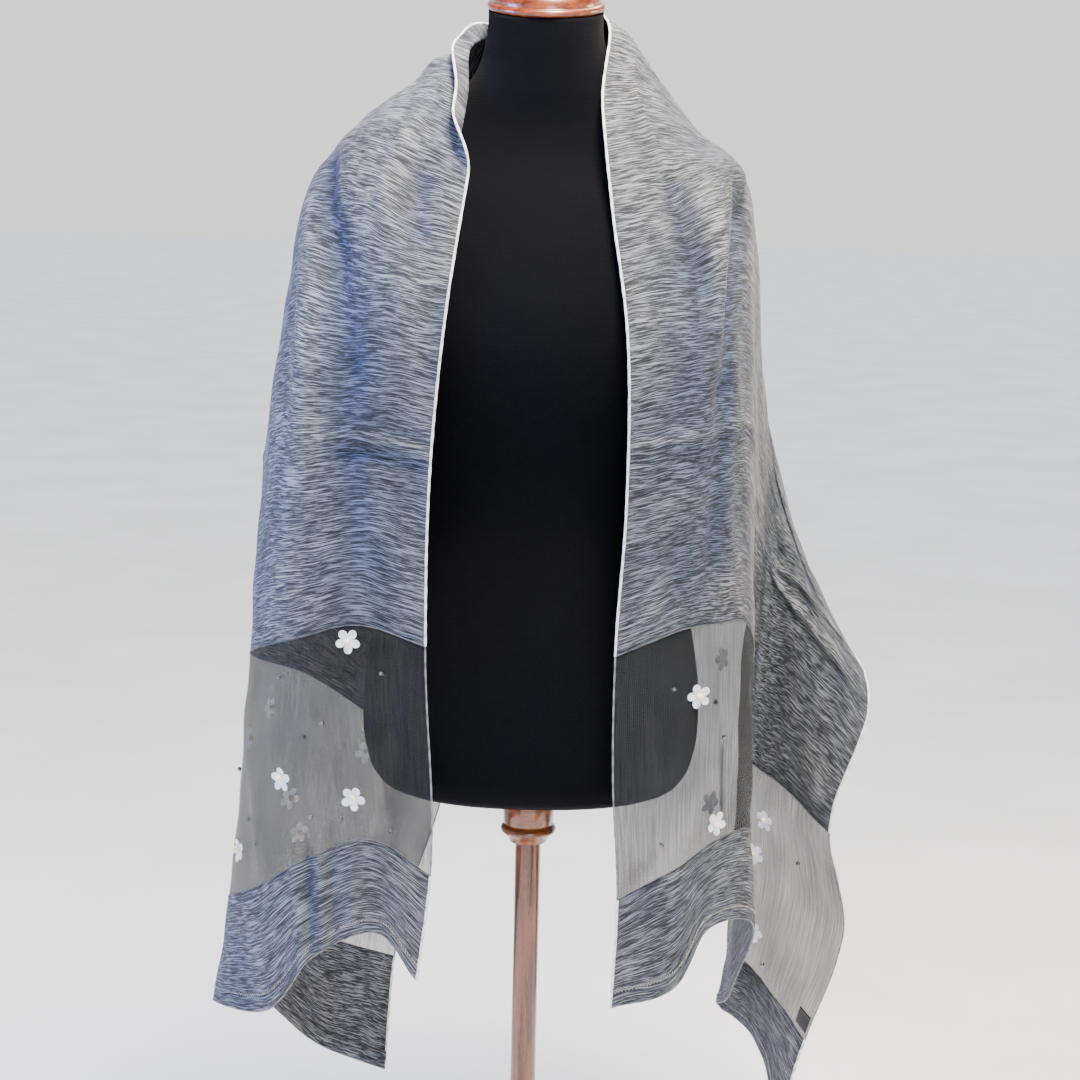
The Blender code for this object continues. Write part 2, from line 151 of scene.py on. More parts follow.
@dataclass(frozen=True)
class Finish:
    """A surface finish, made as a node material.

    Attributes:
        name: The material's name, the real material and how it was made.
        roughness: The surface's mean roughness.
        ior: The index of refraction.
        metallic: 1 for bare metal, 0 for the rest.
        specular: The specular level.
        sheen: How much soft fibre sheen the surface has.
        sheen_roughness: How wide that sheen spreads.
        coat: How much clear varnish or gloss lies on top.
        coat_roughness: The roughness of that coat.
    """

    name: str
    roughness: float = 0.6
    ior: float = 1.5
    metallic: float = 0.0
    specular: float = 0.5
    sheen: float = 0.0
    sheen_roughness: float = 0.4
    coat: float = 0.0
    coat_roughness: float = 0.1

    def start(self) -> tuple[bpy.types.Material, bpy.types.Node]:
        """Make the empty material with its plain values set on the shader's own sockets.

        Returns:
            The material and its Principled shader.
        """
        material = bpy.data.materials.new(self.name)
        material.use_nodes = True
        shader = material.node_tree.nodes["Principled BSDF"]
        set_inputs(material, shader, {
            "Roughness": self.roughness,
            "IOR": self.ior,
            "Metallic": self.metallic,
            "Specular IOR Level": self.specular,
            "Sheen Weight": self.sheen,
            "Sheen Roughness": self.sheen_roughness,
            "Coat Weight": self.coat,
            "Coat Roughness": self.coat_roughness,
        })
        return material, shader

    @staticmethod
    def patchy(
        material: bpy.types.Material,
        scale: float,
        detail: float,
        stops: Sequence[tuple[float, str]],
    ) -> tuple[bpy.types.Node, bpy.types.Node]:
        """Mix two tones in soft patches.

        Args:
            material: The material that is built.
            scale: The noise's scale, the number of patches in a metre.
            detail: How many finer layers it has.
            stops: The tones, as set_ramp takes them.

        Returns:
            The noise node and the colour ramp.
        """
        where = add_node(material, "ShaderNodeTexCoord")
        patches = add_node(material, "ShaderNodeTexNoise", {}, {
            "Vector": where.outputs["Object"], "Scale": scale, "Detail": detail})
        colour = add_node(material, "ShaderNodeValToRGB", {}, {"Fac": patches})
        set_ramp(colour, stops)
        return patches, colour

    def material(self) -> bpy.types.Material:
        """Return the finish's material, made once and then shared."""
        made = bpy.data.materials.get(self.name)
        return made if made is not None else self.dress()

    def dress(self) -> bpy.types.Material:
        """Build the node material. Each finish has its own."""
        raise NotImplementedError(self.name)


@dataclass(frozen=True)
class MarledWeave(Finish):
    """Slub viscose woven with light and dark yarn: short streaks along the weft, a dull silky sheen.

    Attributes:
        streak_mm: Length of a streak along the weft, and its height across the yarns.
        thread_mm: Length and height of the finest streaks, single yarns at about twice their real
            thickness so that they show in the render.
        slub_mm: Length and height of the thick pale slubs.
        drift_mm: How far the weft wanders up and down.
        cloud_mm: Size of the soft lighter and darker clouds.
        dark: Colour of the dark yarn.
        middle: Colour between the two.
        light: Colour of the light yarn.
    """

    name: str = "marled_slub_viscose_weave"
    roughness: float = 0.72
    specular: float = 0.35
    sheen: float = 0.07
    sheen_roughness: float = 0.45
    streak_mm: tuple[float, float] = (25.0, 1.05)
    thread_mm: tuple[float, float] = (12.0, 0.62)
    slub_mm: tuple[float, float] = (40.0, 1.6)
    drift_mm: float = 4.5
    cloud_mm: tuple[float, float] = (110.0, 70.0)
    dark: str = "#15191f"
    middle: str = "#363b42"
    light: str = "#989da3"

    def dress(self) -> bpy.types.Material:
        """Lay three sizes of streak over one another, wandering a little, and raise the pale ones."""
        material, shader = self.start()
        cloth = add_node(material, "ShaderNodeUVMap", {"uv_map": ClothGrid.UV_NAME})
        wander = add_node(material, "ShaderNodeTexNoise", {"noise_dimensions": "2D"}, {
            "Vector": cloth, "Scale": 16.0, "Detail": 2.0})
        lift = add_node(material, "ShaderNodeMath", {"operation": "MULTIPLY_ADD"}, {
            0: wander, 1: 2.0 * self.drift_mm * MILLIMETRE, 2: -self.drift_mm * MILLIMETRE})
        shift = add_node(material, "ShaderNodeCombineXYZ", {}, {"Y": lift})
        weft = add_node(material, "ShaderNodeVectorMath", {"operation": "ADD"}, {
            0: cloth, 1: shift})
        streaks = self.streaks(material, weft, self.streak_mm, 0.0, 3.0)
        threads = self.streaks(material, weft, self.thread_mm, 7.3, 2.0)
        slubs = self.streaks(material, weft, self.slub_mm, 3.1, 1.0)
        pale = add_node(material, "ShaderNodeMapRange", {"interpolation_type": "SMOOTHSTEP"}, {
            "Value": slubs, "From Min": 0.54, "From Max": 0.72, "To Min": 0.0, "To Max": 0.14})
        both = add_node(material, "ShaderNodeMix", {"data_type": "FLOAT"}, {
            "Factor": 0.42, "A": streaks, "B": threads.outputs["Fac"]})
        yarn = add_node(material, "ShaderNodeMath", {"operation": "ADD"}, {
            0: both, 1: pale})
        colour = add_node(material, "ShaderNodeValToRGB", {}, {"Fac": yarn})
        set_ramp(colour, [(0.38, self.dark), (0.50, self.middle), (0.64, self.light)])
        spread = add_node(material, "ShaderNodeVectorMath", {"operation": "MULTIPLY"}, {
            0: cloth, 1: drawn_out(self.cloud_mm)})
        clouds = add_node(material, "ShaderNodeTexNoise", {"noise_dimensions": "2D"}, {
            "Vector": spread, "Scale": 1.0, "Detail": 2.0})
        cloud_grey = add_node(material, "ShaderNodeValToRGB", {}, {"Fac": clouds})
        set_ramp(cloud_grey, [(0.3, "#d9dbe2"), (0.7, "#ffffff")])
        tinted = add_node(material, "ShaderNodeMix", {"data_type": "RGBA", "blend_type": "MULTIPLY"}, {
            "Factor": 1.0, "A": colour, "B": cloud_grey})
        # Painted shade and highlight: the crease height darkens the yarn colour with a bluish tint in troughs
        # and lightens it on ridges.
        folds = add_node(material, "ShaderNodeAttribute", {"attribute_name": ClothGrid.FOLD_HEIGHT})
        depth = add_node(material, "ShaderNodeMapRange", {}, {
            "Value": folds.outputs["Fac"], "From Min": -0.010, "From Max": 0.004})
        painted_crease_shade = add_node(material, "ShaderNodeValToRGB", {}, {"Fac": depth})
        set_ramp(painted_crease_shade, [(0.0, "#9aabd2"), (0.42, "#b9c3da"), (0.714, "#e2e4e9"), (1.0, "#ffffff")])
        tone_with_painted_shade = add_node(material, "ShaderNodeMix", {"data_type": "RGBA", "blend_type": "MULTIPLY"}, {
            "Factor": 1.0, "A": tinted, "B": painted_crease_shade})
        raised = add_node(material, "ShaderNodeBump", {}, {
            "Height": yarn, "Strength": 0.55, "Distance": 0.0009})
        dull = add_node(material, "ShaderNodeMapRange", {}, {
            "Value": yarn, "From Min": 0.3, "From Max": 0.7, "To Min": 0.82, "To Max": 0.62})
        set_inputs(material, shader, {
            "Base Color": tone_with_painted_shade, "Normal": raised,
            "Roughness": dull})
        return material

    @staticmethod
    def streaks(
        material: bpy.types.Material,
        weft: bpy.types.Node,
        size_mm: tuple[float, float],
        seed: float,
        detail: float,
    ) -> bpy.types.Node:
        """Add noise drawn out along the weft.

        Args:
            material: The cloth's material.
            weft: The node that gives the wandering cloth coordinates.
            size_mm: Length along the weft and height across it.
            seed: An offset that makes this layer different from the others.
            detail: How many finer layers the noise has.

        Returns:
            The noise node.
        """
        drawn = add_node(material, "ShaderNodeVectorMath", {"operation": "MULTIPLY_ADD"}, {
            0: weft, 1: drawn_out(size_mm), 2: (seed, seed, 0.0)})
        return add_node(material, "ShaderNodeTexNoise", {"noise_dimensions": "2D"}, {
            "Vector": drawn, "Scale": 1.0, "Detail": detail, "Roughness": 0.6})


@dataclass(frozen=True)
class SheerOrganza(Finish):
    """Plain-woven organza: a grey veil that dims what is behind it, with faint streaks along the warp.

    Attributes:
        veil: How much one skin of the cloth hides at the left end and at the right end, where the
        photo's veil hides more; the right end's stronger veil is painted shade that darkens that band.
        The sheet has two skins.
        streak_mm: Width and length of the streaks where threads lie closer, drawn wider than the
            real 0.2 mm threads so that they show.
        colour: The thread's colour.
        bright: The thread's colour where the threads lie closer.
    """

    name: str = "sheer_polyester_organza"
    roughness: float = 0.55
    specular: float = 0.3
    sheen: float = 0.04
    sheen_roughness: float = 0.3
    veil: tuple[float, float] = (0.43, 0.56)
    streak_mm: tuple[float, float] = (2.2, 60.0)
    colour: str = "#121518"
    bright: str = "#1f2327"

    def dress(self) -> bpy.types.Material:
        """Vary the veil's strength and colour in streaks along the warp."""
        material, shader = self.start()
        cloth = add_node(material, "ShaderNodeUVMap", {"uv_map": ClothGrid.UV_NAME})
        drawn = add_node(material, "ShaderNodeVectorMath", {"operation": "MULTIPLY"}, {
            0: cloth, 1: drawn_out(self.streak_mm)})
        warp = add_node(material, "ShaderNodeTexNoise", {"noise_dimensions": "2D"}, {
            "Vector": drawn, "Scale": 1.0, "Detail": 3.0, "Roughness": 0.6})
        clouds = add_node(material, "ShaderNodeTexNoise", {"noise_dimensions": "2D"}, {
            "Vector": cloth, "Scale": 14.0, "Detail": 1.0})
        both = add_node(material, "ShaderNodeMix", {"data_type": "FLOAT"}, {
            "Factor": 0.35, "A": warp, "B": clouds})
        colour = add_node(material, "ShaderNodeValToRGB", {}, {"Fac": both})
        set_ramp(colour, [(0.35, self.colour), (0.65, self.bright)])
        where = add_node(material, "ShaderNodeSeparateXYZ", {}, {"Vector": cloth})
        # Painted shade: the veil grows stronger towards the right end, darkening the right band.
        end = add_node(material, "ShaderNodeMapRange", {}, {
            "Value": where.outputs["Y"], "From Min": -0.1, "From Max": 0.1,
            "To Min": self.veil[0], "To Max": self.veil[1]})
        uneven = add_node(material, "ShaderNodeMapRange", {}, {
            "Value": both, "From Min": 0.3, "From Max": 0.7, "To Min": 0.82, "To Max": 1.2})
        # Painted shade in creases: the dark veil hides more where the crease height is a trough, so creases
        # show darker.
        folds = add_node(material, "ShaderNodeAttribute", {"attribute_name": ClothGrid.FOLD_HEIGHT})
        creased = add_node(material, "ShaderNodeMapRange", {}, {
            "Value": folds.outputs["Fac"], "From Min": -0.0032, "From Max": -0.0016,
            "To Min": 1.3, "To Max": 1.0})
        closer = add_node(material, "ShaderNodeMath", {"operation": "MULTIPLY"}, {
            0: end, 1: uneven})
        veil = add_node(material, "ShaderNodeMath", {"operation": "MULTIPLY", "use_clamp": True}, {
            0: closer, 1: creased})
        set_inputs(material, shader, {"Base Color": colour, "Alpha": veil})
        return material


@dataclass(frozen=True)
class TwistedThread(Finish):
    """Thread or a rolled edge covered with it: fine slanting turns that catch the light.

    Attributes:
        colour: The thread's colour.
        shade: Its colour in the hollows between turns.
        turn_mm: Length of one turn along the thread.
    """

    name: str = "white_twisted_thread"
    roughness: float = 0.6
    sheen: float = 0.2
    colour: str = "#e9edf0"
    shade: str = "#c3c8ce"
    turn_mm: float = 2.4

    def dress(self) -> bpy.types.Material:
        """Band the thread with slanting turns, and raise them."""
        material, shader = self.start()
        along = add_node(material, "ShaderNodeUVMap", {"uv_map": ClothGrid.UV_NAME})
        turns = add_node(material, "ShaderNodeTexWave", {"bands_direction": "DIAGONAL"}, {
            "Vector": along, "Scale": 1.0 / (self.turn_mm * MILLIMETRE) / WAVE_UNITS * 2.0,
            "Distortion": 0.6, "Detail": 1.0})
        colour = add_node(material, "ShaderNodeValToRGB", {}, {"Fac": turns.outputs["Fac"]})
        set_ramp(colour, [(0.0, self.shade), (0.35, self.colour)])
        raised = add_node(material, "ShaderNodeBump", {}, {
            "Height": turns.outputs["Fac"], "Strength": 0.4, "Distance": 0.0003})
        set_inputs(material, shader, {
            "Base Color": colour, "Normal": raised})
        return material


@dataclass(frozen=True)
class PearlSequin(Finish):
    """Pressed sequin film: white with a thin rainbow layer, glossy.

    Attributes:
        colour: The film's white.
        tint: Its cooler white in patches.
        lets_through: How much of the light passes through the film.
        painted_glow: A painted glow: light added evenly as emission, so the film looks bright from every side
            though it is no lamp.
    """

    name: str = "iridescent_pressed_sequin"
    roughness: float = 0.28
    ior: float = 1.53
    coat: float = 0.6
    coat_roughness: float = 0.08
    colour: str = "#f4f5f3"
    tint: str = "#dfe3ee"
    lets_through: float = 0.35
    painted_glow: float = 0.55

    def dress(self) -> bpy.types.Material:
        """Mix two whites in soft patches under a thin film that tints the gloss."""
        material, shader = self.start()
        # The emission is a painted glow that brightens the petals evenly; the film sends out no light of its
        # own.
        set_inputs(material, shader, {
            "Thin Film Thickness": 420.0, "Thin Film IOR": 1.6,
            "Emission Color": linear(self.tint), "Emission Strength": self.painted_glow})
        patches, colour = self.patchy(material, 160.0, 1.0, [(0.35, self.tint), (0.6, self.colour)])
        dents = add_node(material, "ShaderNodeBump", {}, {
            "Height": patches, "Strength": 0.15, "Distance": 0.0004})
        glow = add_node(material, "ShaderNodeBsdfTranslucent", {}, {"Color": colour})
        film = add_node(material, "ShaderNodeMixShader", {}, {
            0: self.lets_through, 1: shader, 2: glow})
        set_inputs(material, shader, {
            "Base Color": colour, "Normal": dents})
        set_inputs(material, material.node_tree.nodes["Material Output"], {"Surface": film})
        return material


@dataclass(frozen=True)
class GlassPearl(Finish):
    """Lacquered glass pearl: cream, with a soft deep gloss.

    Attributes:
        colour: The pearl's cream.
        tint: Its rosier cream in patches.
    """

    name: str = "lacquered_cream_pearl"
    roughness: float = 0.3
    coat: float = 1.0
    coat_roughness: float = 0.12
    colour: str = "#f0e1bd"
    tint: str = "#f2e6d2"

    def dress(self) -> bpy.types.Material:
        """Mix two creams in very soft patches."""
        material, shader = self.start()
        _, colour = self.patchy(material, 300.0, 0.0, [(0.4, self.colour), (0.6, self.tint)])
        set_inputs(material, shader, {"Base Color": colour})
        return material


@dataclass(frozen=True)
class PlatedBead(Finish):
    """Nickel-plated bead: a bright mirror with the faintest tarnish.

    Attributes:
        colour: The plating's grey.
        tarnish: The duller grey in patches.
    """

    name: str = "nickel_plated_bead"
    roughness: float = 0.12
    metallic: float = 1.0
    colour: str = "#77797c"
    tarnish: str = "#45474a"

    def dress(self) -> bpy.types.Material:
        """Mix two greys in small patches, rougher where duller."""
        material, shader = self.start()
        patches, colour = self.patchy(material, 420.0, 1.0, [(0.4, self.colour), (0.7, self.tarnish)])
        dull = add_node(material, "ShaderNodeMapRange", {}, {
            "Value": patches, "From Min": 0.4, "From Max": 0.7, "To Min": 0.1, "To Max": 0.3})
        set_inputs(material, shader, {
            "Base Color": colour, "Roughness": dull})
        return material


@dataclass(frozen=True)
class LabelSatin(Finish):
    """Black woven label tape: a close satin weave with a low gloss.

    Attributes:
        colour: The tape's black.
        bright: The top of its threads.
        thread_mm: Thread spacing, twice the real one so that it shows.
    """

    name: str = "black_woven_label_tape"
    roughness: float = 0.5
    sheen: float = 0.15
    colour: str = "#050506"
    bright: str = "#101113"
    thread_mm: float = 0.6

    def dress(self) -> bpy.types.Material:
        """Band the tape with fine threads, and raise them."""
        material, shader = self.start()
        cloth = add_node(material, "ShaderNodeUVMap", {"uv_map": ClothGrid.UV_NAME})
        threads = add_node(material, "ShaderNodeTexWave", {"bands_direction": "Y"}, {
            "Vector": cloth, "Scale": wave_scale(self.thread_mm),
            "Distortion": 0.5})
        colour = add_node(material, "ShaderNodeValToRGB", {}, {"Fac": threads.outputs["Fac"]})
        set_ramp(colour, [(0.2, self.colour), (0.9, self.bright)])
        raised = add_node(material, "ShaderNodeBump", {}, {
            "Height": threads.outputs["Fac"], "Strength": 0.3, "Distance": 0.0002})
        set_inputs(material, shader, {
            "Base Color": colour, "Normal": raised})
        return material


@dataclass(frozen=True)
class BlackJersey(Finish):
    """Knitted cotton jersey stretched over the form: blue-black, matt, with fine ribs and some lint.

    Attributes:
        colour: The jersey's black.
        ribs: Its colour on top of the ribs.
        lint: Colour of the lint specks.
        rib_mm: Rib spacing, about twice the real one so that it shows.
        lint_mm: Spacing of the lint specks.
    """

    name: str = "black_knitted_jersey"
    roughness: float = 0.88
    specular: float = 0.08
    sheen: float = 0.012
    sheen_roughness: float = 0.5
    colour: str = "#020308"
    ribs: str = "#05070d"
    lint: str = "#181b22"
    rib_mm: float = 1.8
    lint_mm: float = 9.0

    def dress(self) -> bpy.types.Material:
        """Knit upright ribs crossed by courses, with soft stretch marks and sparse lint."""
        material, shader = self.start()
        cloth = add_node(material, "ShaderNodeUVMap", {"uv_map": ClothGrid.UV_NAME})
        scale = wave_scale(self.rib_mm)
        ribs = add_node(material, "ShaderNodeTexWave", {"bands_direction": "X"}, {
            "Vector": cloth, "Scale": scale, "Distortion": 0.8, "Detail": 1.0,
            "Detail Scale": 0.5})
        courses = add_node(material, "ShaderNodeTexWave", {"bands_direction": "Y"}, {
            "Vector": cloth, "Scale": scale, "Distortion": 1.0, "Detail": 1.0})
        knit = add_node(material, "ShaderNodeMath", {"operation": "MULTIPLY"}, {
            0: ribs.outputs["Fac"], 1: courses.outputs["Fac"]})
        colour = add_node(material, "ShaderNodeValToRGB", {}, {"Fac": knit})
        set_ramp(colour, [(0.1, self.colour), (0.9, self.ribs)])
        specks = add_node(material, "ShaderNodeTexVoronoi", {"feature": "F1"}, {
            "Vector": cloth, "Scale": 1.0 / (self.lint_mm * MILLIMETRE), "Randomness": 1.0})
        where = add_node(material, "ShaderNodeMapRange", {"interpolation_type": "SMOOTHSTEP"}, {
            "Value": specks, "From Min": 0.03, "From Max": 0.07, "To Min": 0.55, "To Max": 0.0})
        linty = add_node(material, "ShaderNodeMix", {"data_type": "RGBA"}, {
            "Factor": where, "A": colour, "B": linear(self.lint)})
        pull = add_node(material, "ShaderNodeTexNoise", {"noise_dimensions": "2D"}, {
            "Vector": cloth, "Scale": 22.0, "Detail": 2.0})
        soft = add_node(material, "ShaderNodeBump", {}, {
            "Height": pull, "Strength": 0.2, "Distance": 0.002})
        raised = add_node(material, "ShaderNodeBump", {}, {
            "Height": knit, "Strength": 0.5, "Distance": 0.0005, "Normal": soft})
        set_inputs(material, shader, {
            "Base Color": linty, "Normal": raised})
        return material


@dataclass(frozen=True)
class TurnedWood(Finish):
    """Beech turned on a lathe, stained and varnished: drawn-out grain under a clear gloss.

    Attributes:
        light: The stain between the grain lines.
        dark: The stain in the grain lines.
        grain_mm: Width and length of the grain lines.
        pore_mm: Width and length of the short dark flecks.
        grain_axis: The axis that the grain runs along, 0 for X and 2 for Z.
    """

    name: str = "varnished_orange_beech"
    roughness: float = 0.38
    coat: float = 0.8
    coat_roughness: float = 0.09
    light: str = "#803405"
    dark: str = "#3d1402"
    grain_mm: tuple[float, float] = (4.0, 60.0)
    pore_mm: tuple[float, float] = (0.7, 7.0)
    grain_axis: int = 0

    def dress(self) -> bpy.types.Material:
        """Draw the grain out along one direction, bend it a little and add flecks."""
        material, shader = self.start()
        where = add_node(material, "ShaderNodeTexCoord")
        grain_size, pore_size = self.drawn_scale(self.grain_mm), self.drawn_scale(self.pore_mm)
        drawn = add_node(material, "ShaderNodeVectorMath", {"operation": "MULTIPLY"}, {
            0: where.outputs["Object"], 1: grain_size})
        grain = add_node(material, "ShaderNodeTexNoise", {}, {
            "Vector": drawn, "Scale": 1.0, "Detail": 3.0, "Distortion": 0.6})
        flecked = add_node(material, "ShaderNodeVectorMath", {"operation": "MULTIPLY"}, {
            0: where.outputs["Object"], 1: pore_size})
        pores = add_node(material, "ShaderNodeTexNoise", {}, {
            "Vector": flecked, "Scale": 1.0, "Detail": 1.0})
        both = add_node(material, "ShaderNodeMix", {"data_type": "FLOAT"}, {
            "Factor": 0.3, "A": grain, "B": pores})
        colour = add_node(material, "ShaderNodeValToRGB", {}, {"Fac": both})
        set_ramp(colour, [(0.38, self.dark), (0.58, self.light)])
        raised = add_node(material, "ShaderNodeBump", {}, {
            "Height": both, "Strength": 0.1, "Distance": 0.0004})
        set_inputs(material, shader, {
            "Base Color": colour, "Normal": raised})
        return material

    def drawn_scale(self, size_mm: tuple[float, float]) -> Point:
        """Work out the noise scale for marks drawn out along the grain.

        Args:
            size_mm: Width and length of a mark.

        Returns:
            The scale on X, Y and Z.
        """
        width, length = (1.0 / (size * MILLIMETRE) for size in size_mm)
        scale = [width, width, width]
        scale[self.grain_axis] = length
        return tuple(scale)


@dataclass(frozen=True)
class StudioPaper(Finish):
    """Matt paper of the studio floor, off-white with the faintest mottling.

    Attributes:
        colour: The paper's white.
        shade: Its slightly darker mottling.
    """

    name: str = "studio_paper"
    roughness: float = 0.95
    specular: float = 0.1
    colour: str = "#f2f2f0"
    shade: str = "#ecece9"

    def dress(self) -> bpy.types.Material:
        """Mottle the paper very softly."""
        material, shader = self.start()
        _, colour = self.patchy(material, 3.0, 2.0, [(0.4, self.colour), (0.6, self.shade)])
        set_inputs(material, shader, {"Base Color": colour})
        return material


# Smooth curves and the torso's surface

def smooth_through(places: Sequence[float], values: np.ndarray, wanted: np.ndarray) -> np.ndarray:
    """Read a smooth curve that passes through every listed value.

    Args:
        places: Where the values are given, in rising order.
        values: The values, one or more numbers for each place.
        wanted: Where the curve is read.

    Returns:
        The curve's values, a cubic from each given value to the next.
    """
    places = np.asarray(places, dtype=float)
    values = np.asarray(values, dtype=float)
    wanted = np.asarray(wanted, dtype=float)
    slopes = np.gradient(values, places, axis=0)
    cell = np.clip(np.searchsorted(places, wanted) - 1, 0, len(places) - 2)
    width = places[cell + 1] - places[cell]
    part = (wanted - places[cell]) / width
    spread = (slice(None),) + (None,) * (values.ndim - 1)
    part = part[spread]
    width = width[spread]
    rest = 1.0 - part
    ends = values[cell] * (1.0 + 2.0 * part) * rest**2 + values[cell + 1] * (3.0 - 2.0 * part) * part**2
    leans = slopes[cell] * part * rest**2 - slopes[cell + 1] * rest * part**2
    return ends + leans * width


def smooth_step(start: float, end: float, place: np.ndarray) -> np.ndarray:
    """Rise from 0 at start to 1 at end, level at both.

    Args:
        start: Where the rise begins.
        end: Where it is complete.
        place: Where it is read.

    Returns:
        The share risen at each place.
    """
    part = np.clip((place - start) / (end - start), 0.0, 1.0)
    return part * part * (3.0 - 2.0 * part)


def unit(vectors: np.ndarray) -> np.ndarray:
    """Return the vectors at length 1."""
    return vectors / np.linalg.norm(vectors, axis=-1, keepdims=True)


class FormSection(NamedTuple):
    """One level section of the torso: half its width and depth, and where its middle lies."""

    height: float
    half_width: float
    half_depth: float
    middle: float


@dataclass
class TorsoShape:
    """The torso's surface: rounded level sections from the hips to the neck.

    Attributes:
        bottom: Height of the torso's underside above the floor.
        neck_top: Height of the neck's cut above that.
        neck_tilt: How far the neck's cut leans to the front, in radians.
        tilt_start: Where the sections start to lean.
        roundness: The power of the sections' rounded outline, 2 for an ellipse.
        sections: The sections, from the bottom up.
    """

    bottom: float = 0.52
    neck_top: float = 0.713
    neck_tilt: float = math.radians(12.0)
    tilt_start: float = 0.62
    roundness: float = 2.3
    sections: tuple[FormSection, ...] = (
        FormSection(0.000, 0.122, 0.080, 0.000),
        FormSection(0.005, 0.134, 0.091, 0.000),
        FormSection(0.016, 0.145, 0.101, 0.000),
        FormSection(0.040, 0.154, 0.108, 0.000),
        FormSection(0.085, 0.157, 0.112, 0.002),
        FormSection(0.150, 0.149, 0.106, 0.002),
        FormSection(0.215, 0.133, 0.094, 0.000),
        FormSection(0.265, 0.125, 0.086, -0.002),
        FormSection(0.320, 0.130, 0.092, -0.004),
        FormSection(0.380, 0.140, 0.108, -0.008),
        FormSection(0.430, 0.147, 0.115, -0.006),
        FormSection(0.480, 0.152, 0.110, 0.000),
        FormSection(0.525, 0.164, 0.097, 0.007),
        FormSection(0.555, 0.178, 0.084, 0.012),
        FormSection(0.572, 0.182, 0.074, 0.014),
        FormSection(0.586, 0.171, 0.066, 0.014),
        FormSection(0.601, 0.147, 0.060, 0.013),
        FormSection(0.614, 0.118, 0.057, 0.012),
        FormSection(0.626, 0.094, 0.055, 0.010),
        FormSection(0.641, 0.075, 0.053, 0.007),
        FormSection(0.660, 0.061, 0.051, 0.004),
        FormSection(0.686, 0.053, 0.050, 0.001),
        FormSection(0.740, 0.052, 0.050, 0.000),
    )

    def section_at(self, height: np.ndarray) -> tuple[np.ndarray, np.ndarray, np.ndarray]:
        """Read the torso's level section at each height.

        Args:
            height: Heights above the torso's bottom.

        Returns:
            Half width, half depth and the middle's depth at each.
        """
        heights = [section.height for section in self.sections]
        sizes = np.array([section[1:] for section in self.sections])
        sized = smooth_through(heights, sizes, np.clip(height, heights[0], heights[-1]))
        return sized[..., 0], sized[..., 1], sized[..., 2]

    def level(self, points: np.ndarray) -> np.ndarray:
        """Tell how far out points lie.

        Args:
            points: The points, their heights above the torso's bottom.

        Returns:
            1 on the torso's surface, less inside and more outside.
        """
        half_width, half_depth, middle = self.section_at(points[:, 2])
        across = np.abs(points[:, 0]) / half_width
        along = np.abs(points[:, 1] - middle) / half_depth
        return (across**self.roundness + along**self.roundness) ** (1.0 / self.roundness)

    def clear(
        self,
        points: np.ndarray,
        clearance: float,
        rounds: int = 6,
        probe: float = 0.0005,
    ) -> np.ndarray:
        """Move points that lie too close outward until they just clear the torso.

        Args:
            points: The points, their heights above the torso's bottom.
            clearance: The least distance from the surface.
            rounds: How many times the points are moved.
            probe: The step with which the surface's slope is felt.

        Returns:
            The moved points.
        """
        points = points.copy()
        steps = np.eye(3) * probe
        for _ in range(rounds):
            slope = np.stack(
                [(self.level(points + step) - self.level(points - step)) / (2.0 * probe) for step in steps],
                axis=1,
            )
            steepness = np.linalg.norm(slope, axis=1)
            short = np.clip(clearance - (self.level(points) - 1.0) / steepness, 0.0, 0.02)
            short[(points[:, 2] < 0.0) | (points[:, 2] > self.sections[-1].height)] = 0.0
            points += slope / steepness[:, None] * short[:, None]
        return points

    def ring(self, height: float, sides: int) -> np.ndarray:
        """Return points round the torso at one height, leaning to the front near the neck.

        Args:
            height: Height of the ring's middle above the torso's bottom.
            sides: How many points the ring has.

        Returns:
            The ring's points, in the row frame.
        """
        angles = np.linspace(0.0, 2.0 * math.pi, sides, endpoint=False)
        tilt = self.neck_tilt * float(smooth_step(self.tilt_start, self.neck_top, np.array(height)))
        level = np.full(sides, height)
        for _ in range(4):
            half_width, half_depth, middle = self.section_at(level)
            reach = (
                (np.abs(np.cos(angles)) / half_width) ** self.roundness
                + (np.abs(np.sin(angles)) / half_depth) ** self.roundness
            ) ** (-1.0 / self.roundness)
            depth = middle + reach * np.sin(angles)
            level = height + math.tan(tilt) * depth
        return np.stack([reach * np.cos(angles), depth, level + self.bottom], axis=1)


# The scarf's surface

class WeftLine(NamedTuple):
    """Eight places across the cloth at one run, each x, y and the height above the torso's bottom."""

    run: float
    edge: Point
    breast: Point
    outer: Point
    fold: Point
    side: Point
    tuck: Point
    sweep: Point
    far: Point


class Crease(NamedTuple):
    """A soft ridge (height more than 0) or trough along a line on the cloth, in metres."""

    start_run: float
    start_place: float
    end_run: float
    end_place: float
    width: float
    height: float


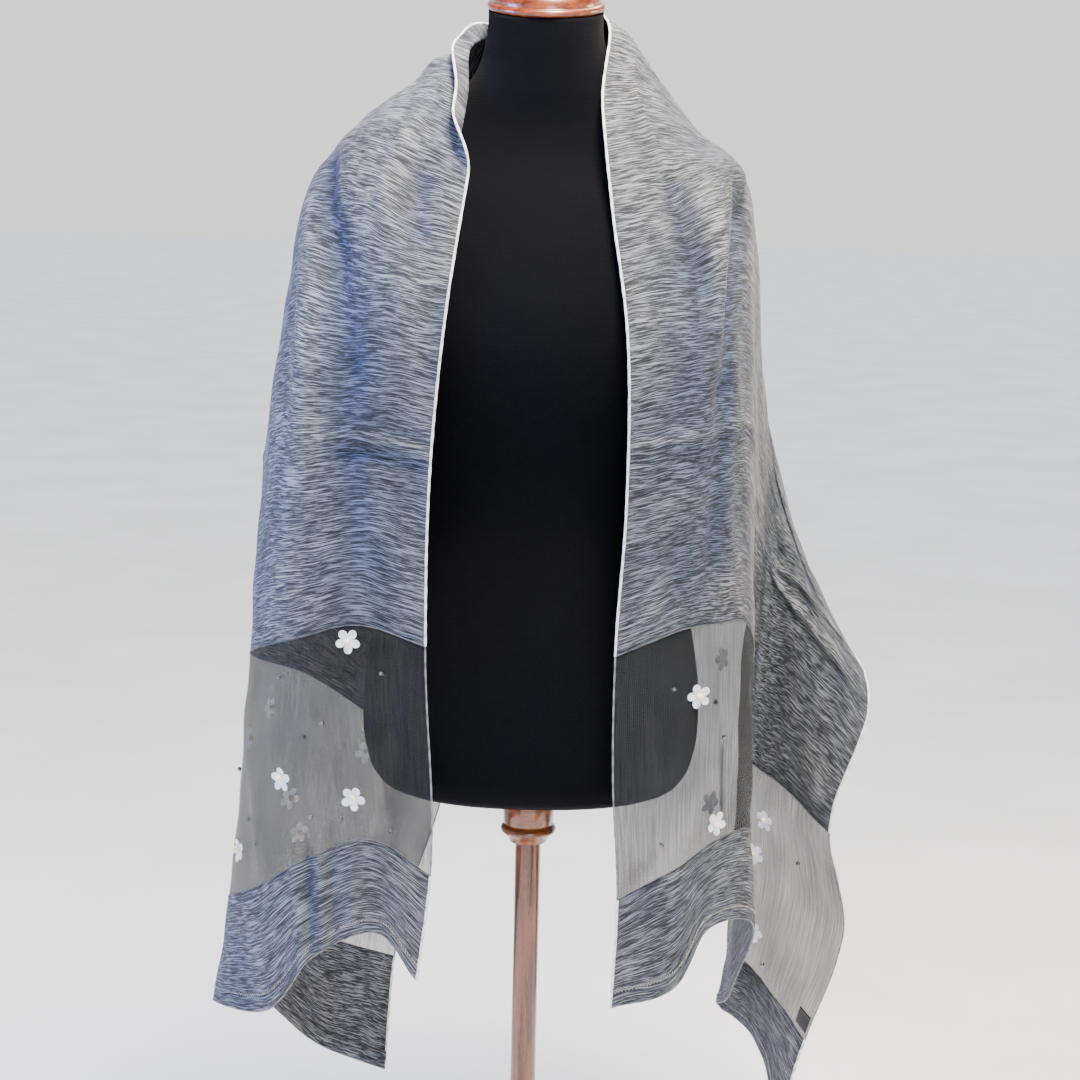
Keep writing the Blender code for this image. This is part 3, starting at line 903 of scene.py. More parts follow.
@dataclass
class ScarfShape:
    """How the scarf hangs: a smooth surface through weft lines, with creases laid on it.

    Attributes:
        torso: The form that the cloth must stay clear of.
        width: The cloth's width.
        clearance: The least distance between the cloth's middle and the torso.
        turn_width: Width of the strip of the neck edge turned outward on the left.
        turn_radius: Radius of that turn.
        turn_angle: How far the strip is turned, in radians.
        turn_runs: Where the turn starts, is full, fades and ends.
        ripple: Height of the small unevenness that all thin cloth has.
        places: Where the eight places of a weft line lie across the cloth.
        lines: The weft lines, from the left end to the right one.
        creases: The folds and creases that the photo shows, and like ones on the hidden sides. Their
        heights also tint the cloth's colour: painted shade in troughs, painted highlight on ridges.
    """

    torso: TorsoShape
    width: float = 0.64
    clearance: float = 0.0019
    turn_width: float = 0.016
    turn_radius: float = 0.0018
    turn_angle: float = math.radians(152.0)
    turn_runs: tuple[float, float, float, float] = (-0.245, -0.185, -0.095, -0.040)
    ripple: float = 0.0015
    places: tuple[float, ...] = (0.0, 0.06, 0.125, 0.20, 0.30, 0.41, 0.53, 0.64)
    lines: tuple[WeftLine, ...] = (
        WeftLine(-0.981, (-0.097, -0.130, -0.146), (-0.133, -0.126, -0.103), (-0.190, -0.118, -0.129),
                 (-0.232, -0.096, -0.189), (-0.296, -0.025, -0.213), (-0.265, 0.040, -0.234),
                 (-0.208, 0.085, -0.303), (-0.142, 0.100, -0.335)),
        WeftLine(-0.878, (-0.086, -0.130, -0.047), (-0.139, -0.127, -0.016), (-0.195, -0.115, -0.038),
                 (-0.246, -0.080, -0.078), (-0.285, 0.000, -0.119), (-0.254, 0.070, -0.161),
                 (-0.200, 0.115, -0.202), (-0.135, 0.128, -0.225)),
        WeftLine(-0.660, (-0.093, -0.130, 0.162), (-0.152, -0.126, 0.178), (-0.207, -0.112, 0.163),
                 (-0.251, -0.060, 0.140), (-0.262, 0.035, 0.109), (-0.224, 0.110, 0.076),
                 (-0.156, 0.150, 0.020), (-0.088, 0.172, -0.038)),
        WeftLine(-0.500, (-0.091, -0.129, 0.318), (-0.149, -0.127, 0.327), (-0.202, -0.108, 0.319),
                 (-0.241, -0.055, 0.307), (-0.252, 0.045, 0.262), (-0.238, 0.115, 0.192),
                 (-0.186, 0.155, 0.112), (-0.118, 0.175, 0.040)),
        WeftLine(-0.360, (-0.079, -0.122, 0.458), (-0.135, -0.116, 0.469), (-0.185, -0.085, 0.476),
                 (-0.220, -0.030, 0.475), (-0.235, 0.045, 0.405), (-0.234, 0.110, 0.315),
                 (-0.204, 0.146, 0.215), (-0.158, 0.160, 0.130)),
        WeftLine(-0.260, (-0.066, -0.088, 0.554), (-0.121, -0.064, 0.575), (-0.169, -0.029, 0.590),
                 (-0.203, 0.010, 0.571), (-0.216, 0.064, 0.492), (-0.214, 0.108, 0.395),
                 (-0.196, 0.130, 0.285), (-0.165, 0.138, 0.190)),
        WeftLine(-0.170, (-0.057, -0.045, 0.627), (-0.099, -0.013, 0.646), (-0.137, 0.022, 0.631),
                 (-0.161, 0.072, 0.577), (-0.171, 0.108, 0.486), (-0.166, 0.118, 0.376),
                 (-0.150, 0.123, 0.262), (-0.126, 0.128, 0.160)),
        WeftLine(-0.085, (-0.055, 0.005, 0.689), (-0.083, 0.035, 0.672), (-0.100, 0.078, 0.620),
                 (-0.107, 0.106, 0.550), (-0.106, 0.119, 0.453), (-0.096, 0.123, 0.343),
                 (-0.084, 0.126, 0.223), (-0.070, 0.128, 0.113)),
        WeftLine(0.000, (0.000, 0.060, 0.700), (0.000, 0.085, 0.647), (0.000, 0.101, 0.584),
                 (0.000, 0.112, 0.510), (0.000, 0.119, 0.411), (0.000, 0.123, 0.301),
                 (0.000, 0.126, 0.182), (0.000, 0.128, 0.072)),
        WeftLine(0.085, (0.051, 0.012, 0.709), (0.080, 0.052, 0.676), (0.095, 0.086, 0.617),
                 (0.104, 0.109, 0.547), (0.106, 0.120, 0.449), (0.105, 0.124, 0.340),
                 (0.101, 0.126, 0.220), (0.098, 0.128, 0.110)),
        WeftLine(0.200, (0.051, -0.050, 0.631), (0.098, -0.020, 0.632), (0.147, 0.012, 0.604),
                 (0.170, 0.065, 0.564), (0.182, 0.105, 0.479), (0.188, 0.118, 0.374),
                 (0.195, 0.124, 0.259), (0.202, 0.130, 0.154)),
        WeftLine(0.300, (0.061, -0.092, 0.541), (0.116, -0.072, 0.555), (0.160, -0.040, 0.571),
                 (0.184, 0.015, 0.568), (0.202, 0.070, 0.500), (0.213, 0.112, 0.400),
                 (0.232, 0.130, 0.285), (0.258, 0.138, 0.175)),
        WeftLine(0.400, (0.075, -0.125, 0.444), (0.130, -0.118, 0.455), (0.172, -0.090, 0.462),
                 (0.190, -0.030, 0.454), (0.204, 0.044, 0.375), (0.224, 0.106, 0.292),
                 (0.252, 0.100, 0.235), (0.292, 0.092, 0.142)),
        WeftLine(0.550, (0.079, -0.130, 0.292), (0.129, -0.128, 0.303), (0.171, -0.105, 0.309),
                 (0.194, -0.055, 0.299), (0.206, 0.038, 0.198), (0.228, 0.106, 0.158),
                 (0.268, 0.066, 0.136), (0.319, 0.006, 0.084)),
        WeftLine(0.690, (0.073, -0.130, 0.157), (0.124, -0.129, 0.179), (0.164, -0.112, 0.184),
                 (0.197, -0.062, 0.169), (0.205, 0.042, 0.038), (0.217, 0.112, -0.002),
                 (0.244, 0.086, -0.017), (0.286, 0.000, -0.041)),
        WeftLine(0.800, (0.074, -0.130, 0.046), (0.127, -0.129, 0.066), (0.166, -0.114, 0.076),
                 (0.200, -0.068, 0.064), (0.205, 0.046, -0.074), (0.213, 0.124, -0.110),
                 (0.252, 0.100, -0.126), (0.308, 0.022, -0.149)),
        WeftLine(0.908, (0.081, -0.130, -0.066), (0.129, -0.130, -0.037), (0.167, -0.108, -0.016),
                 (0.204, -0.072, -0.018), (0.204, 0.050, -0.155), (0.208, 0.132, -0.208),
                 (0.241, 0.118, -0.235), (0.280, 0.052, -0.273)),
        WeftLine(1.011, (0.078, -0.130, -0.168), (0.134, -0.127, -0.149), (0.163, -0.110, -0.100),
                 (0.209, -0.072, -0.105), (0.204, 0.058, -0.228), (0.203, 0.150, -0.280),
                 (0.242, 0.142, -0.314), (0.262, 0.092, -0.384)),
    )
    creases: tuple[Crease, ...] = (
        # The blue valley down the left front, and the ridge beside it
        Crease(-0.262, 0.180, -0.345, 0.116, 0.019, -0.0100),
        Crease(-0.345, 0.116, -0.435, 0.086, 0.021, -0.0105),
        Crease(-0.435, 0.086, -0.600, 0.074, 0.022, -0.0050),
        Crease(-0.330, 0.165, -0.480, 0.128, 0.018, 0.0065),
        Crease(-0.480, 0.128, -0.640, 0.150, 0.020, 0.0050),
        # The broad shallow hollows below both breasts, where the fronts hang straight, which darken the cloth
        # there with painted shade
        Crease(-0.370, 0.055, -0.650, 0.050, 0.048, -0.0054),
        Crease(0.360, 0.080, 0.650, 0.072, 0.052, -0.0066),
        # The shaded hollow below the left breast, and soft pulls from the neck
        Crease(-0.262, 0.042, -0.312, 0.036, 0.015, -0.0062),
        Crease(-0.215, 0.060, -0.300, 0.075, 0.012, 0.0042),
        Crease(-0.120, 0.060, -0.205, 0.150, 0.012, 0.0042),
        Crease(-0.135, 0.095, -0.215, 0.195, 0.010, -0.0036),
        # The crease left by the packaging, across both fronts and on to the hidden sides
        Crease(-0.486, 0.000, -0.484, 0.110, 0.006, 0.0034),
        Crease(-0.500, 0.000, -0.498, 0.100, 0.008, -0.0026),
        Crease(-0.482, 0.250, -0.484, 0.640, 0.006, 0.0022),
        Crease(0.503, 0.000, 0.506, 0.070, 0.006, 0.0030),
        Crease(0.506, 0.070, 0.497, 0.230, 0.007, 0.0028),
        Crease(0.498, 0.330, 0.500, 0.640, 0.006, 0.0022),
        # Flutes in the left hem band and the thin crease under the left seam
        Crease(-0.860, 0.142, -0.981, 0.142, 0.005, 0.0036),
        Crease(-0.860, 0.128, -0.981, 0.128, 0.005, -0.0034),
        Crease(-0.865, 0.114, -0.981, 0.114, 0.005, 0.0034),
        Crease(-0.870, 0.100, -0.981, 0.100, 0.005, -0.0030),
        Crease(-0.660, 0.094, -0.702, 0.130, 0.0035, -0.0026),
        Crease(-0.700, 0.030, -0.880, 0.040, 0.010, -0.0034),
        Crease(-0.690, 0.200, -0.870, 0.190, 0.014, 0.0045),
        # The pale line from the right of the neck, the valley it runs into and the ridge beside it
        Crease(0.150, 0.030, 0.275, 0.054, 0.005, 0.0034),
        Crease(0.285, 0.056, 0.385, 0.080, 0.012, -0.0070),
        Crease(0.385, 0.080, 0.470, 0.060, 0.014, -0.0045),
        Crease(0.300, 0.100, 0.420, 0.105, 0.014, 0.0050),
        Crease(0.300, 0.170, 0.620, 0.158, 0.034, -0.0066),
        # A low ridge beside the right of the neck, which lightens the cloth there into a painted pale strip
        Crease(0.070, 0.026, 0.210, 0.026, 0.022, 0.0042),
        # The shaded turn from the right shoulder down to the hip
        Crease(0.320, 0.182, 0.395, 0.130, 0.021, -0.0105),
        Crease(0.395, 0.130, 0.480, 0.112, 0.021, -0.0105),
        Crease(0.480, 0.112, 0.640, 0.116, 0.019, -0.0060),
        Crease(0.560, 0.040, 0.680, 0.034, 0.012, 0.0034),
        # The sharp fold of the outer layer beside the rounded tip, and the crease in the right veil
        Crease(0.505, 0.420, 0.532, 0.500, 0.006, 0.0044),
        Crease(0.532, 0.500, 0.545, 0.600, 0.006, 0.0044),
        Crease(0.380, 0.470, 0.500, 0.560, 0.010, -0.0044),
        Crease(0.790, 0.137, 0.897, 0.141, 0.0035, -0.0028),
        Crease(0.720, 0.030, 0.900, 0.045, 0.010, -0.0018),
        # The hidden back: long soft folds fanning from the neck
        Crease(-0.060, 0.120, -0.150, 0.600, 0.020, 0.0065),
        Crease(-0.020, 0.160, -0.050, 0.640, 0.018, -0.0050),
        Crease(0.040, 0.140, 0.090, 0.640, 0.020, 0.0065),
        Crease(0.090, 0.120, 0.190, 0.600, 0.018, -0.0050),
        Crease(-0.250, 0.330, -0.420, 0.560, 0.018, -0.0050),
        Crease(0.240, 0.300, 0.330, 0.600, 0.018, 0.0050),
        Crease(-0.560, 0.320, -0.820, 0.400, 0.018, 0.0045),
        Crease(0.600, 0.300, 0.850, 0.330, 0.018, -0.0045),
    )

    def smooth(self, runs: np.ndarray, places: np.ndarray) -> np.ndarray:
        """Work out the drape without its creases.

        Args:
            runs: The grid's runs.
            places: The grid's places across.

        Returns:
            The points, their heights above the torso's bottom.
        """
        known = np.array([line[1:] for line in self.lines])
        lines = smooth_through([line.run for line in self.lines], known, runs)
        grid = smooth_through(self.places, np.swapaxes(lines, 0, 1), places)
        grid = np.swapaxes(grid, 0, 1)
        return self.torso.clear(grid.reshape(-1, 3), self.clearance).reshape(grid.shape)

    @staticmethod
    def outward(grid: np.ndarray) -> np.ndarray:
        """Return the direction of the cloth's outside at each point of a grid."""
        return unit(np.cross(np.gradient(grid, axis=0), np.gradient(grid, axis=1)))

    def relief(self, runs: np.ndarray, places: np.ndarray) -> np.ndarray:
        """Work out how far creases and ripples move the cloth out of its smooth drape.

        Args:
            runs: The grid's runs.
            places: The grid's places across.

        Returns:
            The height of the relief at each point of the grid.
        """
        run, place = np.meshgrid(runs, places, indexing="ij")
        height = np.zeros(run.shape)
        for crease in self.creases:
            along_run = crease.end_run - crease.start_run
            along_place = crease.end_place - crease.start_place
            length = math.hypot(along_run, along_place)
            down, aside = run - crease.start_run, place - crease.start_place
            part = (down * along_run + aside * along_place) / length**2
            nearest = np.clip(part, 0.0, 1.0)
            off = np.hypot(down - nearest * along_run, aside - nearest * along_place)
            ends = smooth_step(-0.12, 0.12, part) * (1.0 - smooth_step(0.88, 1.12, part))
            height += crease.height * np.exp(-((off / crease.width) ** 2)) * (0.35 + 0.65 * ends)
        waves = (
            np.sin(31.0 * run + 19.0 * place + 1.3) * np.sin(47.0 * place - 13.0 * run)
            + 0.6 * np.sin(73.0 * run - 41.0 * place + 0.4) * np.sin(58.0 * place + 37.0 * run + 2.1)
        )
        return height + self.ripple * waves

    def turn_edge(self, grid: np.ndarray, runs: np.ndarray, places: np.ndarray) -> np.ndarray:
        """Roll the strip next to the neck edge outward on the left, like a narrow lapel.

        Args:
            grid: The cloth's points.
            runs: The grid's runs.
            places: The grid's places across.

        Returns:
            The grid with its edge columns moved.
        """
        just_inside = self.smooth(runs, np.array([self.turn_width, self.turn_width + 0.004]))
        crease = just_inside[:, 0]
        inward = unit(just_inside[:, 1] - crease)
        lifted = unit(np.cross(np.gradient(crease, axis=0), inward))
        start, full, fade, end = self.turn_runs
        angle = self.turn_angle * smooth_step(start, full, runs) * (1.0 - smooth_step(fade, end, runs))
        for column, place in enumerate(places):
            if place >= self.turn_width:
                continue
            length = self.turn_width - place
            bent = np.minimum(length / self.turn_radius, angle)
            straight = length - bent * self.turn_radius
            off_edge = self.turn_radius * np.sin(bent) + straight * np.cos(bent)
            lift = self.turn_radius * (1.0 - np.cos(bent)) + straight * np.sin(bent)
            grid[:, column] += inward * (length - off_edge)[:, None] + lifted * lift[:, None]
        return grid

    def points(self, runs: np.ndarray, places: np.ndarray, offset: float = 0.0) -> np.ndarray:
        """Return the creased cloth's points in the row frame.

        Args:
            runs: The grid's runs, in rising order.
            places: The grid's places across, in rising order.
            offset: How far outward from the cloth's middle the points lie.

        Returns:
            The points, on a grid of runs and places.
        """
        smooth = self.smooth(runs, places)
        outward = self.outward(smooth)
        far_edge = smooth_step(self.width - 0.02, self.width, places)
        flat_edges = smooth_step(0.0, 0.012, places) * (1.0 - 0.5 * far_edge)
        relief = self.relief(runs, places) * (0.25 + 0.75 * flat_edges)[None, :]
        grid = smooth + outward * relief[..., None]
        grid = self.torso.clear(grid.reshape(-1, 3), self.clearance - 0.0004).reshape(grid.shape)
        grid = self.turn_edge(grid, runs, places)
        if offset:
            grid = grid + self.outward(grid) * offset
        grid[..., 2] += self.torso.bottom
        return grid

    def stand_at(self, run: float, place: float) -> tuple[Vector, Matrix]:
        """Find a point of the cloth and the directions there.

        Args:
            run: The point's run.
            place: Its place across.

        Returns:
            The point, and a matrix whose columns run across the cloth, against its run and outward.
        """
        step = 0.003
        low = min(max(place, step), self.width - step)
        grid = self.points(np.array([run - step, run, run + step]), np.array([low - step, low, low + step]))
        across = Vector(grid[1, 2] - grid[1, 0]).normalized()
        along = Vector(grid[2, 1] - grid[0, 1]).normalized()
        outward = along.cross(across).normalized()
        against = outward.cross(across).normalized()
        return Vector(grid[1, 1]), Matrix((across, against, outward)).transposed()


# Mesh helpers

class ClothGrid:
    """Meshes made from grids of points, with their own coordinates on the cloth in metres."""

    UV_NAME = "cloth"
    FOLD_HEIGHT = "fold_height"

    @classmethod
    def object(
        cls,
        name: str,
        grid: np.ndarray,
        flat: np.ndarray,
        finish: Finish,
        closed: bool = False,
    ) -> bpy.types.Object:
        """Make an object from a grid of points.

        Args:
            name: The piece's name.
            grid: The points, rows by columns by three.
            flat: Where each point lies on the flat cloth, rows by columns by two.
            finish: The piece's finish.
            closed: Whether the last column joins the first, as round a tube.

        Returns:
            The object, linked to the scene.
        """
        rows, columns = grid.shape[:2]
        here = np.arange(rows * columns).reshape(rows, columns)
        after = np.roll(here, -1, axis=1) if closed else here[:, 1:]
        start = here if closed else here[:, :-1]
        quads = np.stack([start[:-1], start[1:], after[1:], after[:-1]], axis=-1).reshape(-1, 4)
        mesh = bpy.data.meshes.new(name)
        mesh.from_pydata(grid.reshape(-1, 3).tolist(), [], quads.tolist())
        layer = mesh.uv_layers.new(name=cls.UV_NAME)
        layer.data.foreach_set("uv", flat.reshape(-1, 2)[quads.reshape(-1)].reshape(-1))
        mesh.shade_smooth()
        return place_piece(name, mesh, finish)

    @classmethod
    def tube(
        cls,
        name: str,
        path: np.ndarray,
        radius: Union[float, np.ndarray],
        finish: Finish,
        sides: int = 8,
    ) -> bpy.types.Object:
        """Make a tube along a line of points, closed at both ends.

        Args:
            name: The piece's name.
            path: The line's points.
            radius: The tube's radius, or one radius for each point.
            finish: The piece's finish.
            sides: How many sides the tube has.

        Returns:
            The object, linked to the scene.
        """
        along = unit(np.gradient(path, axis=0))
        side = np.zeros_like(path)
        side[0] = np.cross(along[0], (0.31, 0.87, 0.38))
        for index in range(1, len(path)):
            side[index] = side[index - 1] - along[index] * np.dot(side[index - 1], along[index])
            side[index] /= np.linalg.norm(side[index])
        side[0] /= np.linalg.norm(side[0])
        other = np.cross(side, along)
        angles = np.linspace(0.0, 2.0 * math.pi, sides, endpoint=False)
        radii = np.broadcast_to(np.asarray(radius, dtype=float), (len(path),)).copy()
        grid = (
            path[:, None]
            + side[:, None] * (np.cos(angles)[None, :, None] * radii[:, None, None])
            + other[:, None] * (np.sin(angles)[None, :, None] * radii[:, None, None])
        )
        first = np.repeat(path[:1, None], sides, axis=1)
        last = np.repeat(path[-1:, None], sides, axis=1)
        grid = np.concatenate([first, grid, last])
        steps = np.concatenate([[0.0], np.cumsum(np.linalg.norm(np.diff(path, axis=0), axis=1))])
        length = np.concatenate([steps[:1], steps, steps[-1:]])
        around = angles * radii.mean()
        flat = np.stack(np.meshgrid(around, length), axis=-1)
        return cls.object(name, grid, flat, finish, closed=True)


def place_piece(name: str, mesh: bpy.types.Mesh, finish: Finish) -> bpy.types.Object:
    """Link a mesh as a piece that rides on the part's one body.

    Args:
        name: The piece's name.
        mesh: Its mesh.
        finish: Its finish.

    Returns:
        The new object.
    """
    mesh.name = name
    piece = bpy.data.objects.new(name, mesh)
    mesh.materials.append(finish.material())
    bpy.context.scene.collection.objects.link(piece)
    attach(piece, ROOT_BODY)
    log.info("%s: %d faces", name, len(mesh.polygons))
    return piece


def thicken(piece: bpy.types.Object, thickness: float) -> None:
    """Give an open sheet its thickness, half to each side.

    Args:
        piece: The sheet.
        thickness: The cloth's thickness.
    """
    shell = piece.modifiers.new("Thickness", "SOLIDIFY")
    shell.thickness = thickness
    shell.offset = 0.0


# The scarf's pieces

# The threads other than the white one that covers the marled cloth's edges
HEM_THREAD = TwistedThread(name="pale_hem_thread", colour="#a9a8a2", shade="#6f6f6c")
HEM_FOLD_FINISH = TwistedThread(name="grey_folded_hem", colour="#6d7278", shade="#43484e")
SEAM_THREAD = TwistedThread(name="grey_seam_thread", colour="#4d5257", shade="#33373c")
VEIL_EDGE_FINISH = TwistedThread(name="pale_rolled_veil_edge", colour="#7b8084", shade="#565b60")
LABEL_THREAD = TwistedThread(name="grey_label_thread", colour="#55585c", shade="#303236", turn_mm=1.0)


class ClothKind(Enum):
    """The two cloths that the scarf is sewn from."""

    MARLED = "marled"
    SHEER = "sheer"

    def finish(self) -> Finish:
        """Return the cloth's finish."""
        return MarledWeave() if self is ClothKind.MARLED else SheerOrganza()


class Panel(NamedTuple):
    """One cut piece of the scarf: its name, CAD node, first and last run, cut length and cloth."""

    name: str
    node: str
    start: float
    end: float
    cut_length: float
    kind: ClothKind


class Fastening(NamedTuple):
    """Where a flower or a bead is sewn: run, place, how far it is spun, and on which side (1 outside)."""

    run: float
    place: float
    spin: float
    side: int


@dataclass
class SequinFlower:
    """A flower of five pressed sequin petals round a small disc, with one pearl sewn on.

    Attributes:
        petal_radius: Half the width of a petal.
        petal_reach: How far a petal's middle lies from the flower's.
        cup: How far a petal's rim curls up.
        rise: How far the petals rise towards their tips.
        centre_radius: Radius of the disc in the middle.
        thickness: The film's thickness.
        stand_off: How far the flower lies above the cloth's middle.
        pearl_radius: The pearl's radius.
        segments: Points round a petal.
        rings: Where a disc's rings of points lie, as shares of its radius.
    """

    petal_radius: float = 0.0043
    petal_reach: float = 0.0071
    cup: float = 0.0011
    rise: float = 0.0010
    centre_radius: float = 0.0032
    thickness: float = 0.00035
    stand_off: float = 0.0008
    pearl_radius: float = 0.0030
    segments: int = 22
    rings: tuple[float, ...] = (0.0, 0.35, 0.65, 0.86, 1.0)

    def disc(
        self,
        mesh: bmesh.types.BMesh,
        place: Matrix,
        radius: float,
        cup: float,
        drawn: float,
    ) -> None:
        """Add one cupped disc to a mesh.

        Args:
            mesh: The mesh that grows.
            place: Where the disc lies. Its own X points away from the flower's middle.
            radius: The disc's radius.
            cup: How far its rim curls up.
            drawn: How far it is drawn out and narrowed towards the flower's middle.
        """
        rows = []
        for share in self.rings[1:]:
            row = []
            for index in range(self.segments):
                angle = 2.0 * math.pi * index / self.segments
                towards = max(0.0, -math.cos(angle)) ** 2
                x = share * radius * math.cos(angle) * (1.0 + drawn * towards)
                y = share * radius * math.sin(angle) * (1.0 - 0.45 * drawn - 0.35 * drawn * towards)
                row.append(mesh.verts.new(place @ Vector((x, y, cup * share**2))))
            rows.append(row)
        middle = mesh.verts.new(place @ Vector((0.0, 0.0, 0.0)))
        for index in range(self.segments):
            after = (index + 1) % self.segments
            mesh.faces.new((middle, rows[0][index], rows[0][after]))
            for inner, outer in zip(rows, rows[1:]):
                mesh.faces.new((inner[index], outer[index], outer[after], inner[after]))

    def add(
        self,
        petals: bmesh.types.BMesh,
        pearls: bmesh.types.BMesh,
        shape: ScarfShape,
        spot: Fastening,
    ) -> None:
        """Add one flower at its spot on the cloth.

        Args:
            petals: The mesh of all petals.
            pearls: The mesh of all pearls.
            shape: The scarf's surface.
            spot: Where the flower is sewn.
        """
        point, turned = shape.stand_at(spot.run, spot.place)
        outward = turned.col[2] * spot.side
        across = turned.col[0]
        against = outward.cross(across)
        basis = Matrix((across, against, outward)).transposed().to_4x4()
        spun = basis @ Matrix.Rotation(spot.spin, 4, "Z")
        here = Matrix.Translation(point + outward * self.stand_off) @ spun
        for petal in range(5):
            wobble = noise.noise(Vector((spot.run * 40.0, spot.place * 40.0, petal * 2.7)))
            turn = Matrix.Rotation(math.radians(72.0 * petal + 5.0 * wobble), 4, "Z")
            lean = Matrix.Rotation(-math.radians(9.0 + 14.0 * wobble), 4, "Y")
            out = Matrix.Translation(Vector((self.petal_reach, 0.0, self.rise)))
            radius = self.petal_radius * (1.0 + 0.06 * wobble)
            self.disc(petals, here @ turn @ out @ lean, radius, self.cup, 0.30)
        centre = here @ Matrix.Translation(Vector((0.0, 0.0, 0.0004)))
        self.disc(petals, centre, self.centre_radius, 0.0004, 0.0)
        slip = noise.noise_vector(Vector((spot.run * 70.0, spot.place * 70.0, 4.4))) * 0.0028
        seat = here @ Matrix.Translation(Vector((slip.x, slip.y, 0.0010 + self.pearl_radius)))
        bmesh.ops.create_uvsphere(
            pearls, u_segments=24, v_segments=16, radius=self.pearl_radius, matrix=seat)


@dataclass
class SilverBead:
    """A plated bead held by a much smaller stopper bead.

    Attributes:
        radius: The bead's radius.
        stopper_radius: The stopper's radius.
        stand_off: How far the bead's underside lies above the cloth's middle.
    """

    radius: float = 0.0020
    stopper_radius: float = 0.0008
    stand_off: float = 0.0004

    def add(self, mesh: bmesh.types.BMesh, shape: ScarfShape, spot: Fastening) -> None:
        """Add one bead at its spot on the cloth.

        Args:
            mesh: The mesh of all beads.
            shape: The scarf's surface.
            spot: Where the bead is sewn. Its spin tells which way the stopper lies.
        """
        point, turned = shape.stand_at(spot.run, spot.place)
        outward = turned.col[2] * spot.side
        middle = point + outward * (self.stand_off + self.radius)
        bmesh.ops.create_uvsphere(
            mesh, u_segments=20, v_segments=14, radius=self.radius, matrix=Matrix.Translation(middle))
        aside = turned.col[0] * math.cos(spot.spin) + turned.col[1] * math.sin(spot.spin)
        stopper = middle + aside * (self.radius + 0.6 * self.stopper_radius) - outward * 0.5 * self.radius
        bmesh.ops.create_uvsphere(
            mesh, u_segments=12, v_segments=8, radius=self.stopper_radius, matrix=Matrix.Translation(stopper))


